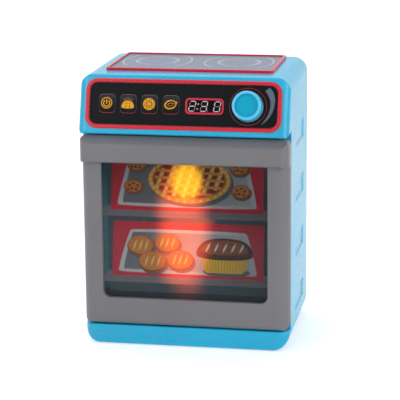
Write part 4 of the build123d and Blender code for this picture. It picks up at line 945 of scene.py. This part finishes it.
def cellLook():
    m = Nodes("cellWrap")
    split = m.add("ShaderNodeSeparateXYZ")
    m.link(m.objectCoords(), split.inputs[0])
    band = m.fit(split.outputs["Z"], 0.074, 0.0745)
    slow = m.noise(60, 2)
    wrap = m.mix(slow, rgb(30, 96, 74), rgb(40, 116, 88))
    m.link(m.mix(band, wrap, rgb(196, 150, 70)), m.shader.inputs["Base Color"])
    m.link(m.fit(slow, 0.3, 0.7, 0.25, 0.35), m.shader.inputs["Roughness"])
    return m.material


steel = metalLook("zincSteel", (0.56, 0.57, 0.6), 0.3)
dress(["housing_screws", "door_screws", "hinge_pins", "chamber_screws", "lamp_screws", "board_screws", "hatch_screw", "speaker_frame"], steel)
dress(["battery_contacts"], metalLook("springBrass", (0.78, 0.66, 0.4), 0.28))
dress(["rubber_feet"], rubberLook())
dress(["lamps"], lampLook())
dress(["lamp_board", "control_board"], boardLook())
dress(["battery_cells"], cellLook())
blackPart = mouldedPlastic("blackPart", rgb(34, 34, 36), 0.45, grainStrength=0.06)
dress(["display_module", "rotary_switch", "key_switches", "power_switch", "power_slider"], blackPart.material)
dress(["rotary_shaft", "power_switch_plunger", "bread_switch_plunger", "pizza_switch_plunger", "fish_switch_plunger"],
      mouldedPlastic("naturalNylon", rgb(224, 222, 210), 0.4, grainStrength=0.04).material)
dress(["speaker_cone"], mouldedPlastic("conePaper", rgb(40, 38, 38), 0.85, grain=500, grainStrength=0.25).material)
print("stage: inner pieces dressed")


# ---- floor, light and camera ----
stageLook = {"worldLight": 0.42, "floorShine": 0.5}


def makeFloor():
    mesh = bpy.data.meshes.new("floor")
    work = bmesh.new()
    rows = [[work.verts.new((x, y, z)) for x in (-4, 4)] for y, z in ((-5, 0), (1.2, 0), (1.75, 0.12), (2.05, 0.5), (2.1, 4))]
    for a, b in zip(rows, rows[1:]):
        work.faces.new((a[0], a[1], b[1], b[0]))
    work.to_mesh(mesh)
    work.free()
    floor = bpy.data.objects.new("floor", mesh)
    bpy.context.scene.collection.objects.link(floor)
    floor.location.z = -0.0002
    m = Nodes("paleFloor")
    grain = m.noise(40, 2)
    m.link(m.mix(grain, (0.84, 0.84, 0.845), (0.88, 0.88, 0.885)), m.shader.inputs["Base Color"])
    m.shader.inputs["Roughness"].default_value = 0.6
    paths = m.add("ShaderNodeLightPath")
    seen = m.math("MAXIMUM", paths.outputs["Is Camera Ray"], m.math("MAXIMUM", paths.outputs["Is Glossy Ray"], paths.outputs["Is Transmission Ray"]))
    m.link(m.math("MULTIPLY", seen, stageLook["floorShine"]), m.shader.inputs["Emission Strength"])
    m.shader.inputs["Emission Color"].default_value = (1, 1, 1, 1)
    mesh.materials.append(m.material)


def makeWorld():
    world = bpy.data.worlds.new("studio")
    bpy.context.scene.world = world
    world.use_nodes = True
    tree = world.node_tree
    back = tree.nodes["Background"]
    back.inputs["Color"].default_value = (1, 1, 1, 1)
    paths = tree.nodes.new("ShaderNodeLightPath")
    glossy = tree.nodes.new("ShaderNodeMath")
    glossy.operation = "MAXIMUM"
    tree.links.new(paths.outputs["Is Camera Ray"], glossy.inputs[0])
    tree.links.new(paths.outputs["Is Glossy Ray"], glossy.inputs[1])
    both = tree.nodes.new("ShaderNodeMath")
    both.operation = "MAXIMUM"
    tree.links.new(glossy.outputs[0], both.inputs[0])
    tree.links.new(paths.outputs["Is Transmission Ray"], both.inputs[1])
    level = tree.nodes.new("ShaderNodeMapRange")
    level.inputs["To Min"].default_value = stageLook["worldLight"]
    level.inputs["To Max"].default_value = 1.0
    tree.links.new(both.outputs[0], level.inputs["Value"])
    tree.links.new(level.outputs[0], back.inputs["Strength"])


lamps = {
    "key": {"at": (-1.1, -1.5, 1.0), "aim": (0, 0, 0.13), "size": 1.1, "power": 10},
    "side": {"at": (1.5, -0.8, 0.7), "aim": (0, 0, 0.12), "size": 1.2, "power": 10},
    "top": {"at": (-0.35, 0.5, 1.5), "aim": (0, 0, 0.25), "size": 1.2, "power": 8},
}


def makeLamps():
    for name, look in lamps.items():
        light = bpy.data.lights.new(name, "AREA")
        light.size = look["size"]
        light.energy = look["power"]
        lamp = bpy.data.objects.new(name, light)
        lamp.location = look["at"]
        aim = mathutils.Vector(look["aim"]) - mathutils.Vector(look["at"])
        lamp.rotation_euler = aim.to_track_quat("-Z", "Y").to_euler()
        bpy.context.scene.collection.objects.link(lamp)


cameraLook = {"azimuth": 10.59, "elevation": 12.97, "roll": -0.52, "distance": 1674.4, "target": (2.46, 60.0, 151.3),
              "pixels": 1718.8, "centre": (197.8, 180.4), "frame": 400}


def makeCamera():
    look = cameraLook
    az, el = math.radians(look["azimuth"]), math.radians(look["elevation"])
    away = mathutils.Vector((math.sin(az) * math.cos(el), -math.cos(az) * math.cos(el), math.sin(el)))
    camera = bpy.data.objects.new("camera", bpy.data.cameras.new("camera"))
    bpy.context.scene.collection.objects.link(camera)
    camera.location = place(*look["target"]) + away * look["distance"] * mm
    turn = mathutils.Quaternion((0, 0, 1), math.radians(look["roll"]))
    camera.rotation_euler = ((-away).to_track_quat("-Z", "Y") @ turn).to_euler()
    camera.data.sensor_width = 36
    camera.data.lens = look["pixels"] / look["frame"] * 36
    camera.data.shift_x = (look["frame"] / 2 - look["centre"][0]) / look["frame"]
    camera.data.shift_y = (look["centre"][1] - look["frame"] / 2) / look["frame"]
    camera.data.clip_end = 20
    bpy.context.scene.camera = camera


makeFloor()
makeWorld()
makeLamps()
makeCamera()
bpy.context.scene.view_settings.view_transform = "Standard"
print("stage: floor, lights and camera set")
